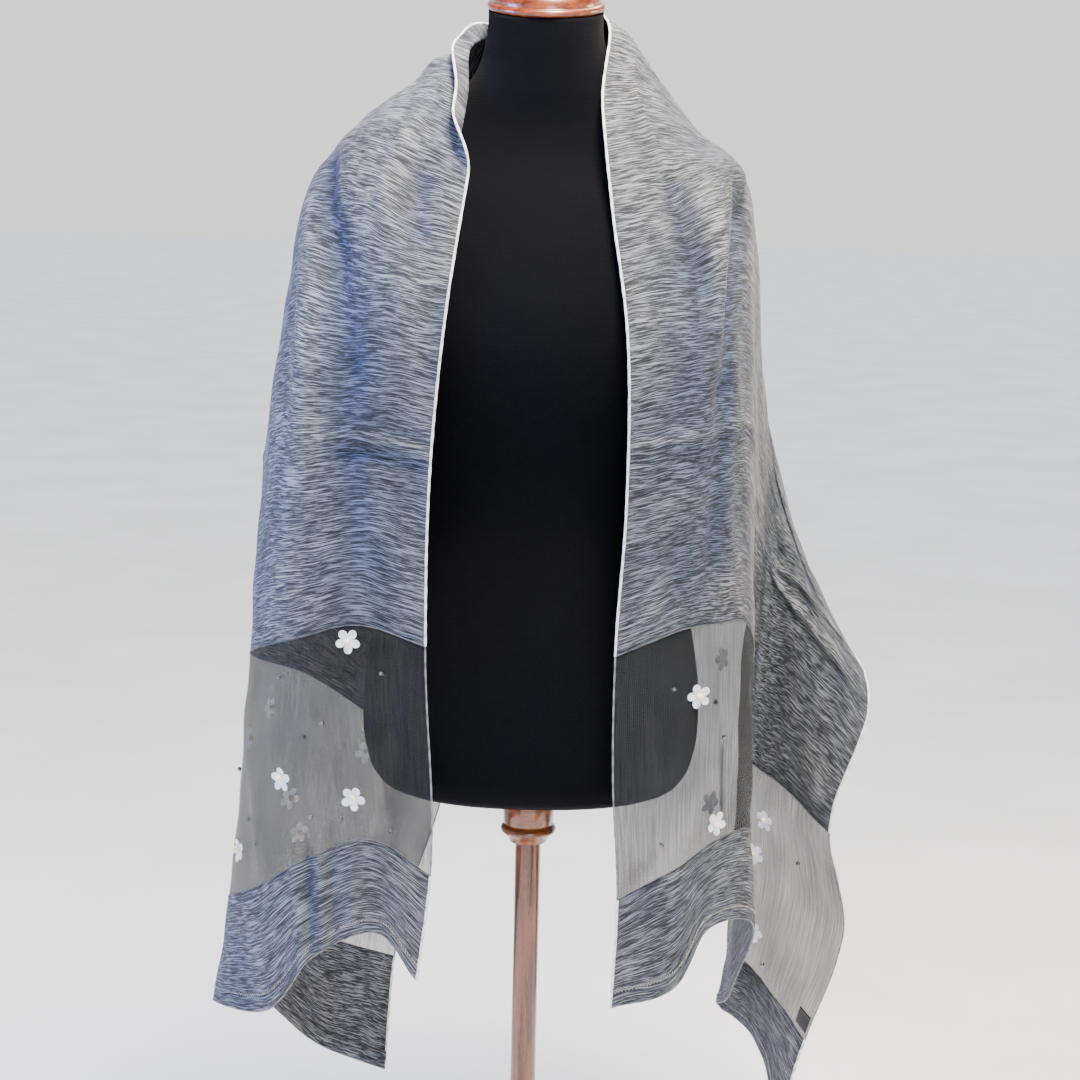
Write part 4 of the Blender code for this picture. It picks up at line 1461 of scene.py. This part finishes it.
@dataclass
class Scarf:
    """The scarf: five panels, rolled edges, seams, hems, flowers, beads and a label.

    Attributes:
        shape: How the cloth hangs.
        thickness: The cloth's thickness.
        seam_gap: The gap between two panels at a seam.
        hem_turn: Width of the hem strip turned to the wrong side.
        cut_width: Width for the flat cut, not used by this script. Like each panel's cut length it is an
            estimate that was
        fitted to the area of the drawn drape, whose own places reach 0.64 m.
        hem_depth: How far behind the cloth's middle that strip lies.
        edge_radius: Radius of the rolled edge on the marled cloth.
        veil_edge_radius: Radius of the rolled edge on the sheer cloth.
        seam_radius: Radius of the raised thread line along a seam.
        stitch_radius: Radius of the sewing thread, a little over the real one so that it shows.
        stitch_step: Half the length of one zig-zag.
        stitch_swing: How far a zig-zag swings to each side.
        label_run: Where the label's upper edge lies.
        label_length: The label's length along the run.
        label_width: Its width across the cloth.
        label_margin: How far it stays from the far edge.
        label_height: How far outward from the band's middle it lies.
        body_row: Spacing of the body's grid rows.
        end_row: Spacing of the other panels' grid rows.
        edge_step: Spacing of the points along a rolled edge.
        packaging_creases: Runs of the crease left by the packaging.
        panels: The scarf's panels, from the left end to the right one.
        flowers: Where the flowers are sewn.
        beads: Where the beads are sewn.
    """

    shape: ScarfShape
    thickness: float = 0.0006
    seam_gap: float = 0.0003
    hem_turn: float = 0.016
    cut_width: float = 0.60
    hem_depth: float = 0.0009
    edge_radius: float = 0.0012
    veil_edge_radius: float = 0.0008
    seam_radius: float = 0.0005
    stitch_radius: float = 0.00028
    stitch_step: float = 0.0016
    stitch_swing: float = 0.0010
    label_run: float = 0.886
    label_length: float = 0.016
    label_width: float = 0.022
    label_margin: float = 0.002
    label_height: float = 0.0013
    body_row: float = 0.0056
    end_row: float = 0.0032
    edge_step: float = 0.004
    packaging_creases: tuple[float, float] = (-0.485, 0.503)
    panels: tuple[Panel, ...] = (
        Panel("marled_hem_left", "left_hem_band", -0.981, -0.878, 0.090, ClothKind.MARLED),
        Panel("organza_band_left", "left_sheer_band", -0.878, -0.660, 0.215, ClothKind.SHEER),
        Panel(BODY_PANEL, "body", -0.660, 0.690, 1.270, ClothKind.MARLED),
        Panel("organza_band_right", "right_sheer_band", 0.690, 0.908, 0.215, ClothKind.SHEER),
        Panel("marled_hem_right", "right_hem_band", 0.908, 1.011, 0.090, ClothKind.MARLED),
    )
    flowers: tuple[Fastening, ...] = (
        Fastening(-0.675, 0.070, 0.25, 1),
        Fastening(-0.791, 0.150, 0.60, 1),
        Fastening(-0.833, 0.074, 0.30, 1),
        Fastening(-0.841, 0.236, 1.00, 1),
        Fastening(-0.703, 0.340, 0.90, -1),
        Fastening(-0.773, 0.406, 0.20, -1),
        Fastening(-0.705, 0.516, 0.10, -1),
        Fastening(-0.797, 0.432, 0.70, -1),
        Fastening(-0.826, 0.560, 0.40, 1),
        Fastening(-0.735, 0.285, 1.10, -1),
        Fastening(0.751, 0.092, 0.45, 1),
        Fastening(0.887, 0.124, 0.80, 1),
        Fastening(0.737, 0.508, 0.35, 1),
        Fastening(0.783, 0.474, 1.00, 1),
        Fastening(0.865, 0.496, 0.15, 1),
        Fastening(0.723, 0.138, 0.70, -1),
        Fastening(0.865, 0.122, 0.30, -1),
        Fastening(0.760, 0.275, 0.20, 1),
        Fastening(0.845, 0.350, 0.90, 1),
    )
    beads: tuple[Fastening, ...] = (
        Fastening(-0.693, 0.148, 0.3, 1),
        Fastening(-0.701, 0.040, 2.8, 1),
        Fastening(-0.749, 0.100, 1.3, 1),
        Fastening(-0.763, 0.060, 2.0, 1),
        Fastening(-0.766, 0.246, 0.6, 1),
        Fastening(-0.837, 0.120, 2.6, 1),
        Fastening(-0.851, 0.088, 1.0, 1),
        Fastening(-0.859, 0.040, 0.2, 1),
        Fastening(-0.841, 0.192, 2.2, 1),
        Fastening(-0.720, 0.420, 0.8, 1),
        Fastening(-0.800, 0.340, 1.6, 1),
        Fastening(-0.850, 0.500, 2.4, 1),
        Fastening(-0.690, 0.590, 0.5, 1),
        Fastening(0.739, 0.060, 2.9, 1),
        Fastening(0.795, 0.138, 0.4, 1),
        Fastening(0.879, 0.048, 1.8, 1),
        Fastening(0.757, 0.576, 0.2, 1),
        Fastening(0.839, 0.476, 1.4, 1),
        Fastening(0.888, 0.534, 0.7, 1),
        Fastening(0.761, 0.124, 2.1, -1),
        Fastening(0.720, 0.330, 1.0, 1),
        Fastening(0.805, 0.245, 0.3, 1),
        Fastening(0.880, 0.300, 2.5, 1),
    )

    @property
    def columns(self) -> np.ndarray:
        """Places across the cloth, closer together in the strip that is turned over."""
        strip = np.linspace(0.0, 0.0215, 15)
        return np.concatenate([strip, np.linspace(0.026, self.shape.width, 120)])

    def rows(self, panel: Panel) -> np.ndarray:
        """Space a panel's grid rows, closer together at the crease left by the packaging.

        Args:
            panel: The panel.

        Returns:
            The rows' runs, in rising order.
        """
        step = self.body_row if panel.name == BODY_PANEL else self.end_row
        start = panel.start + self.seam_gap / 2.0
        end = panel.end - self.seam_gap / 2.0
        even = np.linspace(start, end, max(2, round((end - start) / step)) + 1)
        if panel.name != BODY_PANEL:
            return even
        creases = self.packaging_creases
        near = [middle + offset for middle in creases for offset in np.linspace(-0.009, 0.009, 11)]
        clear = [run for run in even if min(abs(run - middle) for middle in creases) > 0.011]
        return np.array(sorted(clear + near))

    def sheet(
        self,
        name: str,
        runs: np.ndarray,
        places: np.ndarray,
        finish: Finish,
        offset: float = 0.0,
    ) -> bpy.types.Object:
        """Make a thin shell of cloth.

        Args:
            name: The piece's name.
            runs: Its runs.
            places: Its places across.
            finish: Its finish.
            offset: How far outward from the cloth's middle it lies.

        Returns:
            The shell.
        """
        grid = self.shape.points(runs, places, offset)
        place, run = np.meshgrid(places, runs)
        piece = ClothGrid.object(name, grid, np.stack([place, run], axis=-1), finish)
        # Store the crease height at each point: the marled cloth turns it into painted shade in troughs and a
        # painted highlight on ridges, and the organza into a darker veil in troughs.
        heights = piece.data.attributes.new(ClothGrid.FOLD_HEIGHT, "FLOAT", "POINT")
        heights.data.foreach_set("value", self.shape.relief(runs, places).reshape(-1))
        thicken(piece, self.thickness)
        return piece

    def rolled_edge(self, name: str, panel: Panel, place: float, finish: Finish) -> bpy.types.Object:
        """Roll one long edge of a panel into a narrow hem covered with thread.

        Args:
            name: The piece's name.
            panel: The panel.
            place: Where its edge lies across the cloth.
            finish: The thread's finish.

        Returns:
            The rolled edge.
        """
        steps = max(2, round((panel.end - panel.start) / self.edge_step))
        runs = np.linspace(panel.start, panel.end, steps + 1)
        column = 0 if place < self.shape.width / 2.0 else 1
        near = place - self.edge_step if column else place + self.edge_step
        places = np.array(sorted((place, near)))
        path = self.shape.points(runs, places)[:, column]
        radius = self.edge_radius if panel.kind is ClothKind.MARLED else self.veil_edge_radius
        uneven = radius * (1.0 + 0.10 * np.sin(runs * 410.0) + 0.07 * np.sin(runs * 173.0 + 1.0))
        return ClothGrid.tube(name, path, uneven, finish)

    def seam(self, name: str, run: float, finish: Finish) -> bpy.types.Object:
        """Lay the raised thread line along a seam.

        Args:
            name: The piece's name.
            run: The seam's run.
            finish: The thread's finish.

        Returns:
            The thread line.
        """
        runs = np.array([run - 0.002, run, run + 0.002])
        path = self.shape.points(runs, self.columns, self.thickness / 2.0 + 0.0002)[1]
        return ClothGrid.tube(name, path, self.seam_radius, finish, sides=6)

    def zig_zag(self, name: str, run: float, finish: Finish) -> bpy.types.Object:
        """Sew a zig-zag line across the cloth at one run.

        Args:
            name: The piece's name.
            run: The line's run.
            finish: The thread's finish.

        Returns:
            The thread.
        """
        places = np.arange(0.002, self.shape.width - 0.001, self.stitch_step)
        runs = np.array([run - self.stitch_swing, run, run + self.stitch_swing])
        grid = self.shape.points(runs, places, self.thickness / 2.0 + self.stitch_radius * 0.7)
        turn = np.where(np.arange(len(places)) % 2 == 0, 0, 2)
        return ClothGrid.tube(name, grid[turn, np.arange(len(places))], self.stitch_radius, finish, sides=5)

    def hem(self, panel: Panel, end: float) -> list[bpy.types.Object]:
        """Turn a hem band's end to the wrong side and sew it down.

        Args:
            panel: The hem band.
            end: The run of its free end.

        Returns:
            The turned strip, the folded end and the stitches.
        """
        inward = -math.copysign(1.0, end)
        name = panel.name
        runs = np.array(sorted(np.linspace(end, end + inward * self.hem_turn, 6)))
        strip = self.sheet(f"{name}_turned_strip", runs, self.columns, MarledWeave(), -self.hem_depth)
        close = np.array(sorted((end, end + inward * 0.003)))
        fold_path = self.shape.points(close, self.columns, -self.hem_depth / 2.0)[0 if end < 0.0 else 1]
        fold = ClothGrid.tube(f"{name}_fold", fold_path, 0.0008, HEM_FOLD_FINISH, sides=6)
        stitches = self.zig_zag(f"{name}_stitches", end + inward * (self.hem_turn - 0.002), HEM_THREAD)
        return [strip, fold, stitches]

    def sewn_on(self, label: str, sign: int) -> list[bpy.types.Object]:
        """Sew the flowers, pearls and beads on one end of the scarf.

        Args:
            label: The end's name.
            sign: Less than 0 for the left end, more for the right.

        Returns:
            The petals, the pearls and the beads.
        """
        petals, pearls, beads = bmesh.new(), bmesh.new(), bmesh.new()
        for spot in self.flowers:
            if spot.run * sign > 0.0:
                SequinFlower().add(petals, pearls, self.shape, spot)
        for spot in self.beads:
            if spot.run * sign > 0.0:
                SilverBead().add(beads, self.shape, spot)
        made = []
        finishes = {"sequin_petals": PearlSequin(), "pearls": GlassPearl(), "silver_beads": PlatedBead()}
        for (kind, finish), source in zip(finishes.items(), (petals, pearls, beads)):
            mesh = bpy.data.meshes.new(kind)
            source.to_mesh(mesh)
            source.free()
            mesh.shade_smooth()
            made.append(place_piece(f"{kind}_{label}", mesh, finish))
        thicken(made[0], SequinFlower().thickness)
        return made

    def woven_label(self) -> list[bpy.types.Object]:
        """Make the bare label on the right band's far edge, with a row of stitches at its top."""
        runs = np.linspace(self.label_run, self.label_run + self.label_length, 9)
        last = self.shape.width - self.label_margin
        places = np.linspace(last - self.label_width, last, 11)
        tape = self.sheet("woven_label", runs, places, LabelSatin(), self.label_height)
        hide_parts("label")
        row = np.linspace(places[0] + 0.001, places[-1] - 0.001, 27)
        close = np.array([self.label_run + 0.0012, self.label_run + 0.0020, self.label_run + 0.0028])
        lift = self.label_height + self.thickness / 2.0 + 0.00015
        path = self.shape.points(close, row, lift)[1]
        stitches = ClothGrid.tube("woven_label_stitches", path, 0.00025, LABEL_THREAD, sides=5)
        return [tape, stitches]

    def build(self) -> None:
        """Build every piece of the scarf."""
        extras: dict[str, list[bpy.types.Object]] = {}
        for panel in self.panels:
            piece = self.sheet(panel.name, self.rows(panel), self.columns, panel.kind.finish())
            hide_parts(panel.node)
            marled = panel.kind is ClothKind.MARLED
            edge = TwistedThread() if marled else VEIL_EDGE_FINISH
            extras[panel.name] = [
                self.rolled_edge(f"{panel.name}_neck_edge", panel, 0.0, edge),
                self.rolled_edge(f"{panel.name}_far_edge", panel, self.shape.width, edge),
            ]
        hem_left, band_left, body, band_right, hem_right = self.panels
        for name, owner, run in (
            ("marled_hem_left_seam", hem_left, hem_left.end),
            ("marled_body_left_seam", body, body.start),
            ("marled_body_right_seam", body, body.end),
            ("marled_hem_right_seam", hem_right, hem_right.start),
        ):
            extras[owner.name].append(self.seam(name, run, SEAM_THREAD))
        extras[hem_left.name] += self.hem(hem_left, hem_left.start)
        extras[hem_right.name] += self.hem(hem_right, hem_right.end)
        extras[band_left.name] += self.sewn_on("left", -1)
        extras[band_right.name] += self.sewn_on("right", 1) + self.woven_label()


# The form and its stand

@dataclass
class DressForm:
    """The padded torso in its black jersey.

    Attributes:
        shape: The torso's surface.
        sides: How many points each ring has.
    """

    shape: TorsoShape
    sides: int = 112

    def build(self) -> bpy.types.Object:
        """Build the torso's skin from closely set rings.

        Returns:
            The torso.
        """
        shape = self.shape
        heights = np.concatenate([
            np.linspace(0.0, 0.04, 16)[:-1],
            np.linspace(0.04, 0.54, 84)[:-1],
            np.linspace(0.54, shape.neck_top, 60),
        ])
        rings = [shape.ring(height, self.sides) for height in heights]
        for end, order in ((rings[0], 1), (rings[-1], -1)):
            middle = end.mean(axis=0)
            for share in (0.97, 0.85, 0.6, 0.3, 0.02):
                inner = middle + (end - middle) * share
                rings.insert(0 if order == 1 else len(rings), inner)
        grid = np.array(rings[::-1])
        steps = np.linalg.norm(np.diff(grid, axis=0), axis=2).mean(axis=1)
        down = np.concatenate([[0.0], np.cumsum(steps)])
        around = np.linspace(0.0, 0.82, self.sides, endpoint=False)
        flat = np.stack(np.meshgrid(around, -down), axis=-1)
        torso = ClothGrid.object("jersey_torso", grid, flat, BlackJersey(), closed=True)
        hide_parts("dress_form")
        return torso


class ArcPoint(NamedTuple):
    """An arc in a turned outline: its middle's radius and height, its radius, and its two angles."""

    middle_radius: float
    middle_height: float
    radius: float
    start: float
    end: float


@dataclass
class Stand:
    """The wooden parts: cap on the neck, turned collar, pole and round base.

    Attributes:
        torso: The torso that they carry and top.
        cap_radius: The cap's radius at its lip.
        cap_lip: Height of the lip.
        cap_height: Height of the whole cap.
        collar_height: Height of the collar.
        collar_radius: The collar's radius.
        pole_radius: The pole's radius.
        base_radius: The base's radius.
        base_thickness: The base's thickness.
        base_edge: Radius of the base's rounded upper edge.
        seat_gap: The gap between two seated pieces.
        sides: How many sides a turned piece has.
    """

    torso: TorsoShape
    cap_radius: float = 0.0525
    cap_lip: float = 0.007
    cap_height: float = 0.030
    collar_height: float = 0.054
    collar_radius: float = 0.024
    pole_radius: float = 0.012
    base_radius: float = 0.18
    base_thickness: float = 0.026
    base_edge: float = 0.008
    seat_gap: float = 0.0003
    sides: int = 96

    @staticmethod
    def arc(bend: ArcPoint, steps: int = 10) -> list[tuple[float, float]]:
        """Trace an arc of a turned outline.

        Args:
            bend: The arc, its angles in degrees from level outward.
            steps: How many steps it is cut into.

        Returns:
            Pairs of radius and height.
        """
        radius, height = bend.middle_radius, bend.middle_height
        angles = np.radians(np.linspace(bend.start, bend.end, steps + 1))
        return [
            (radius + bend.radius * math.cos(angle), height + bend.radius * math.sin(angle))
            for angle in angles
        ]

    def turned(
        self,
        name: str,
        outline: Sequence[tuple[float, float]],
        finish: Finish,
        node: str,
        slot: str,
        place: Optional[Matrix] = None,
    ) -> bpy.types.Object:
        """Turn a piece from its outline.

        Args:
            name: The piece's name.
            outline: Pairs of radius and height, from the top to the bottom.
            finish: The piece's finish.
            node: The CAD node that it stands for.
            slot: The record's material slot, not used.
            place: Where the outline's own origin goes, if it isn't the row frame's.

        Returns:
            The piece.
        """
        radius, height = np.array(outline).T
        radius = np.maximum(radius, 0.00002)
        angles = np.linspace(0.0, 2.0 * math.pi, self.sides, endpoint=False)
        grid = np.stack([
            radius[:, None] * np.cos(angles),
            radius[:, None] * np.sin(angles),
            np.repeat(height[:, None], self.sides, axis=1),
        ], axis=-1)
        down = np.concatenate([[0.0], np.cumsum(np.hypot(np.diff(radius), np.diff(height)))])
        flat = np.stack(np.meshgrid(angles * radius.max(), down), axis=-1)
        if place is not None:
            turn = np.array(place)
            grid = grid @ turn[:3, :3].T + turn[:3, 3]
        piece = ClothGrid.object(name, grid, flat, finish, closed=True)
        piece.data.set_sharp_from_angle(angle=math.radians(50.0))
        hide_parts(node)
        return piece

    def cap(self) -> bpy.types.Object:
        """Turn the domed cap and seat it on the neck's slanting cut."""
        lip = self.cap_lip / 2.0
        dome_radius = self.cap_radius - 0.004
        dome = [
            (dome_radius * math.sin(angle), self.cap_lip + (self.cap_height - self.cap_lip) * math.cos(angle))
            for angle in np.linspace(0.0, math.pi / 2.0, 25)
        ]
        groove = [(dome_radius + 0.0002, self.cap_lip + 0.0004)]
        rim = self.arc(ArcPoint(self.cap_radius - lip, lip, lip, 90.0, -90.0), 14)
        tilt = self.torso.neck_tilt
        lift = Vector((0.0, -math.sin(tilt), math.cos(tilt))) * self.seat_gap
        top = Matrix.Translation(Vector((0.0, 0.0, self.torso.bottom + self.torso.neck_top)) + lift)
        return self.turned(
            "beech_neck_cap", dome + groove + rim + [(0.0, 0.0)], TurnedWood(), "neck_cap", "warm_wood",
            top @ Matrix.Rotation(tilt, 4, "X"))

    def collar(self) -> bpy.types.Object:
        """Turn the collar under the torso, with its raised ring."""
        top = self.torso.bottom - self.seat_gap
        bottom = top - self.collar_height
        ring = top - 0.042
        outline = [(0.0, top), (self.collar_radius - 0.001, top), (self.collar_radius, top - 0.001)]
        outline += [(self.collar_radius, ring + 0.0062), (self.collar_radius - 0.0012, ring + 0.0050)]
        outline += self.arc(ArcPoint(self.collar_radius - 0.002, ring, 0.0042, 62.0, -62.0), 14)
        outline += [(self.collar_radius - 0.003, ring - 0.006)]
        outline += [(self.pole_radius + 0.006, bottom), (0.0, bottom)]
        wood = TurnedWood(name="varnished_brown_beech", light="#8a4a1f", dark="#4a2410")
        return self.turned("beech_collar", outline, wood, "stand_collar", "dark_wood")

    def pole(self) -> bpy.types.Object:
        """Turn the plain pole."""
        bottom = self.base_thickness + self.seat_gap
        top = self.torso.bottom - self.collar_height - 2.0 * self.seat_gap
        side = [(self.pole_radius, height) for height in np.linspace(top, bottom, 30)]
        wood = TurnedWood(
            name="varnished_brown_beech_pole", light="#7d431d", dark="#43200e",
            grain_mm=(5.0, 90.0), grain_axis=2)
        outline = [(0.0, top)] + side + [(0.0, bottom)]
        return self.turned("beech_pole", outline, wood, "stand_pole", "dark_wood")

    def base(self) -> bpy.types.Object:
        """Turn the round base, flat underneath."""
        edge = self.base_edge
        rounded = self.arc(ArcPoint(self.base_radius - edge, self.base_thickness - edge, edge, 90.0, 0.0))
        inner = [(radius, self.base_thickness) for radius in np.linspace(0.0, self.base_radius - 0.02, 12)]
        outline = inner + rounded + [(self.base_radius, 0.0012), (self.base_radius - 0.0012, 0.0), (0.0, 0.0)]
        wood = TurnedWood(
            name="varnished_brown_beech_base", light="#84491f", dark="#4b2511", grain_mm=(9.0, 160.0))
        return self.turned("beech_base", outline, wood, "stand_base", "dark_wood")

    def build(self) -> None:
        """Build every wooden part."""
        for make in (self.cap, self.collar, self.pole, self.base):
            piece = make()
            log.info("turned %s", piece.name)


# Studio

class SoftLight(NamedTuple):
    """An area light: its name, place, what it is turned to, its size, power and colour."""

    name: str
    place: Point
    target: Point
    size: float
    power: float
    colour: str


@dataclass(frozen=True)
class KeyLight:
    """A wide, distant light like a bright sky, which reaches the object and the whole floor evenly.

    Attributes:
        name: The lamp's name.
        direction: Where the light comes from, as seen from the object.
        spread: How wide the light is, in radians, which softens its shadows.
        strength: Its strength on a surface that faces it, in watts per square metre.
        colour: Its colour.
    """

    name: str
    direction: Point
    spread: float
    strength: float
    colour: str

    def hang(self) -> None:
        """Add the lamp to the scene."""
        data = bpy.data.lights.new(self.name, "SUN")
        data.angle = self.spread
        data.energy = self.strength
        data.color = linear(self.colour)[:3]
        lamp = bpy.data.objects.new(self.name, data)
        lamp.matrix_world = Vector(self.direction).to_track_quat("Z", "Y").to_matrix().to_4x4()
        bpy.context.scene.collection.objects.link(lamp)


@dataclass
class Studio:
    """A pale paper floor, soft lights and the camera at the photo's angle.

    Attributes:
        floor_radius: How far the paper reaches.
        camera_place: Where the camera stands.
        camera_pitch: How far it looks down, in radians.
        camera_roll: How far it is rolled, in radians.
        lens_mm: Its focal length on a 36 mm wide sensor.
        key: The main light.
        lights: The area lights.
        horizon: Colour of the surround where it meets the far floor.
        horizon_strength: Strength of the surround there.
        sky: Colour of the surround overhead.
        sky_strength: Its strength overhead.
    """

    floor_radius: float = 30.0
    camera_place: Point = (0.005, -1.9, 1.094)
    camera_pitch: float = math.radians(10.1)
    camera_roll: float = math.radians(1.29)
    lens_mm: float = 69.33
    horizon: str = "#fbfbfa"
    horizon_strength: float = 1.38
    sky: str = "#9fbcff"
    sky_strength: float = 0.22
    key: KeyLight = KeyLight("skylight", (0.12, 0.62, 0.78), math.radians(40.0), 5.2, "#ffffff")
    lights: tuple[SoftLight, ...] = (
        SoftLight("key_softbox", (0.22, -0.48, 2.26), (0.0, -0.05, 0.9), 0.4, 104.0, "#fff1de"),
        SoftLight("cool_fill", (-1.55, -0.45, 1.25), (-0.15, 0.0, 0.80), 0.6, 44.0, "#8ca8fc"),
        SoftLight("low_fill", (1.2, -6.0, 1.6), (0.1, 0.0, 0.45), 2.0, 150.0, "#fff4e8"),
        SoftLight("warm_side", (1.9, 0.5, 1.3), (0.25, 0.0, 0.6), 0.6, 26.0, "#ffdcae"),
    )

    def build(self) -> None:
        """Lay the floor, set the lights and stand the camera."""
        self.floor()
        self.surround()
        self.key.hang()
        for light in self.lights:
            self.light(light)
        self.camera()

    def floor(self) -> None:
        """Lay the round sheet of pale paper."""
        mesh = bpy.data.meshes.new("paper_floor")
        disc = bmesh.new()
        bmesh.ops.create_circle(disc, cap_ends=True, cap_tris=True, segments=96, radius=self.floor_radius)
        disc.to_mesh(mesh)
        disc.free()
        floor = bpy.data.objects.new("paper_floor", mesh)
        mesh.materials.append(StudioPaper().material())
        bpy.context.scene.collection.objects.link(floor)

    def surround(self) -> None:
        """Set the soft light from all round."""
        world = bpy.data.worlds.new("studio_surround")
        world.use_nodes = True
        background = world.node_tree.nodes["Background"]
        towards = add_node(world, "ShaderNodeTexCoord")
        height = add_node(world, "ShaderNodeSeparateXYZ", {}, {"Vector": towards.outputs["Generated"]})
        share = add_node(world, "ShaderNodeMapRange", {"interpolation_type": "SMOOTHSTEP"}, {
            "Value": height.outputs["Z"], "From Min": 0.12, "From Max": 0.45})
        strength = add_node(world, "ShaderNodeMapRange", {}, {
            "Value": share, "To Min": self.horizon_strength, "To Max": self.sky_strength})
        colour = add_node(world, "ShaderNodeMix", {"data_type": "RGBA"}, {
            "Factor": share, "A": linear(self.horizon), "B": linear(self.sky)})
        set_inputs(world, background, {"Color": colour, "Strength": strength})
        bpy.context.scene.world = world

    @staticmethod
    def light(soft: SoftLight) -> None:
        """Hang one area light and turn it to its target.

        Args:
            soft: The light.
        """
        data = bpy.data.lights.new(soft.name, "AREA")
        data.size = soft.size
        data.energy = soft.power
        data.color = linear(soft.colour)[:3]
        lamp = bpy.data.objects.new(soft.name, data)
        towards = Vector(soft.target) - Vector(soft.place)
        turn = towards.to_track_quat("-Z", "Y").to_matrix().to_4x4()
        lamp.matrix_world = Matrix.Translation(Vector(soft.place)) @ turn
        bpy.context.scene.collection.objects.link(lamp)

    def camera(self) -> None:
        """Stand the camera where the photo was taken from."""
        data = bpy.data.cameras.new("photo_camera")
        data.sensor_width = 36.0
        data.lens = self.lens_mm
        camera = bpy.data.objects.new("photo_camera", data)
        look = Matrix.Rotation(math.radians(90.0) - self.camera_pitch, 4, "X")
        roll = Matrix.Rotation(self.camera_roll, 4, "Z")
        camera.matrix_world = Matrix.Translation(Vector(self.camera_place)) @ look @ roll
        bpy.context.scene.collection.objects.link(camera)
        bpy.context.scene.camera = camera


def main() -> None:
    """Build the form, the stand, the scarf and the studio."""
    logging.basicConfig(level=logging.INFO, format="%(name)s: %(message)s")
    # Blender seeds noise_vector from the clock, so without this the pearls sit differently in each run
    noise.seed_set(NOISE_SEED)
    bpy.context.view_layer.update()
    torso = TorsoShape()
    DressForm(torso).build()
    Stand(torso).build()
    Scarf(ScarfShape(torso)).build()
    Studio().build()
    bpy.context.view_layer.update()


if __name__ == "__main__":
    main()
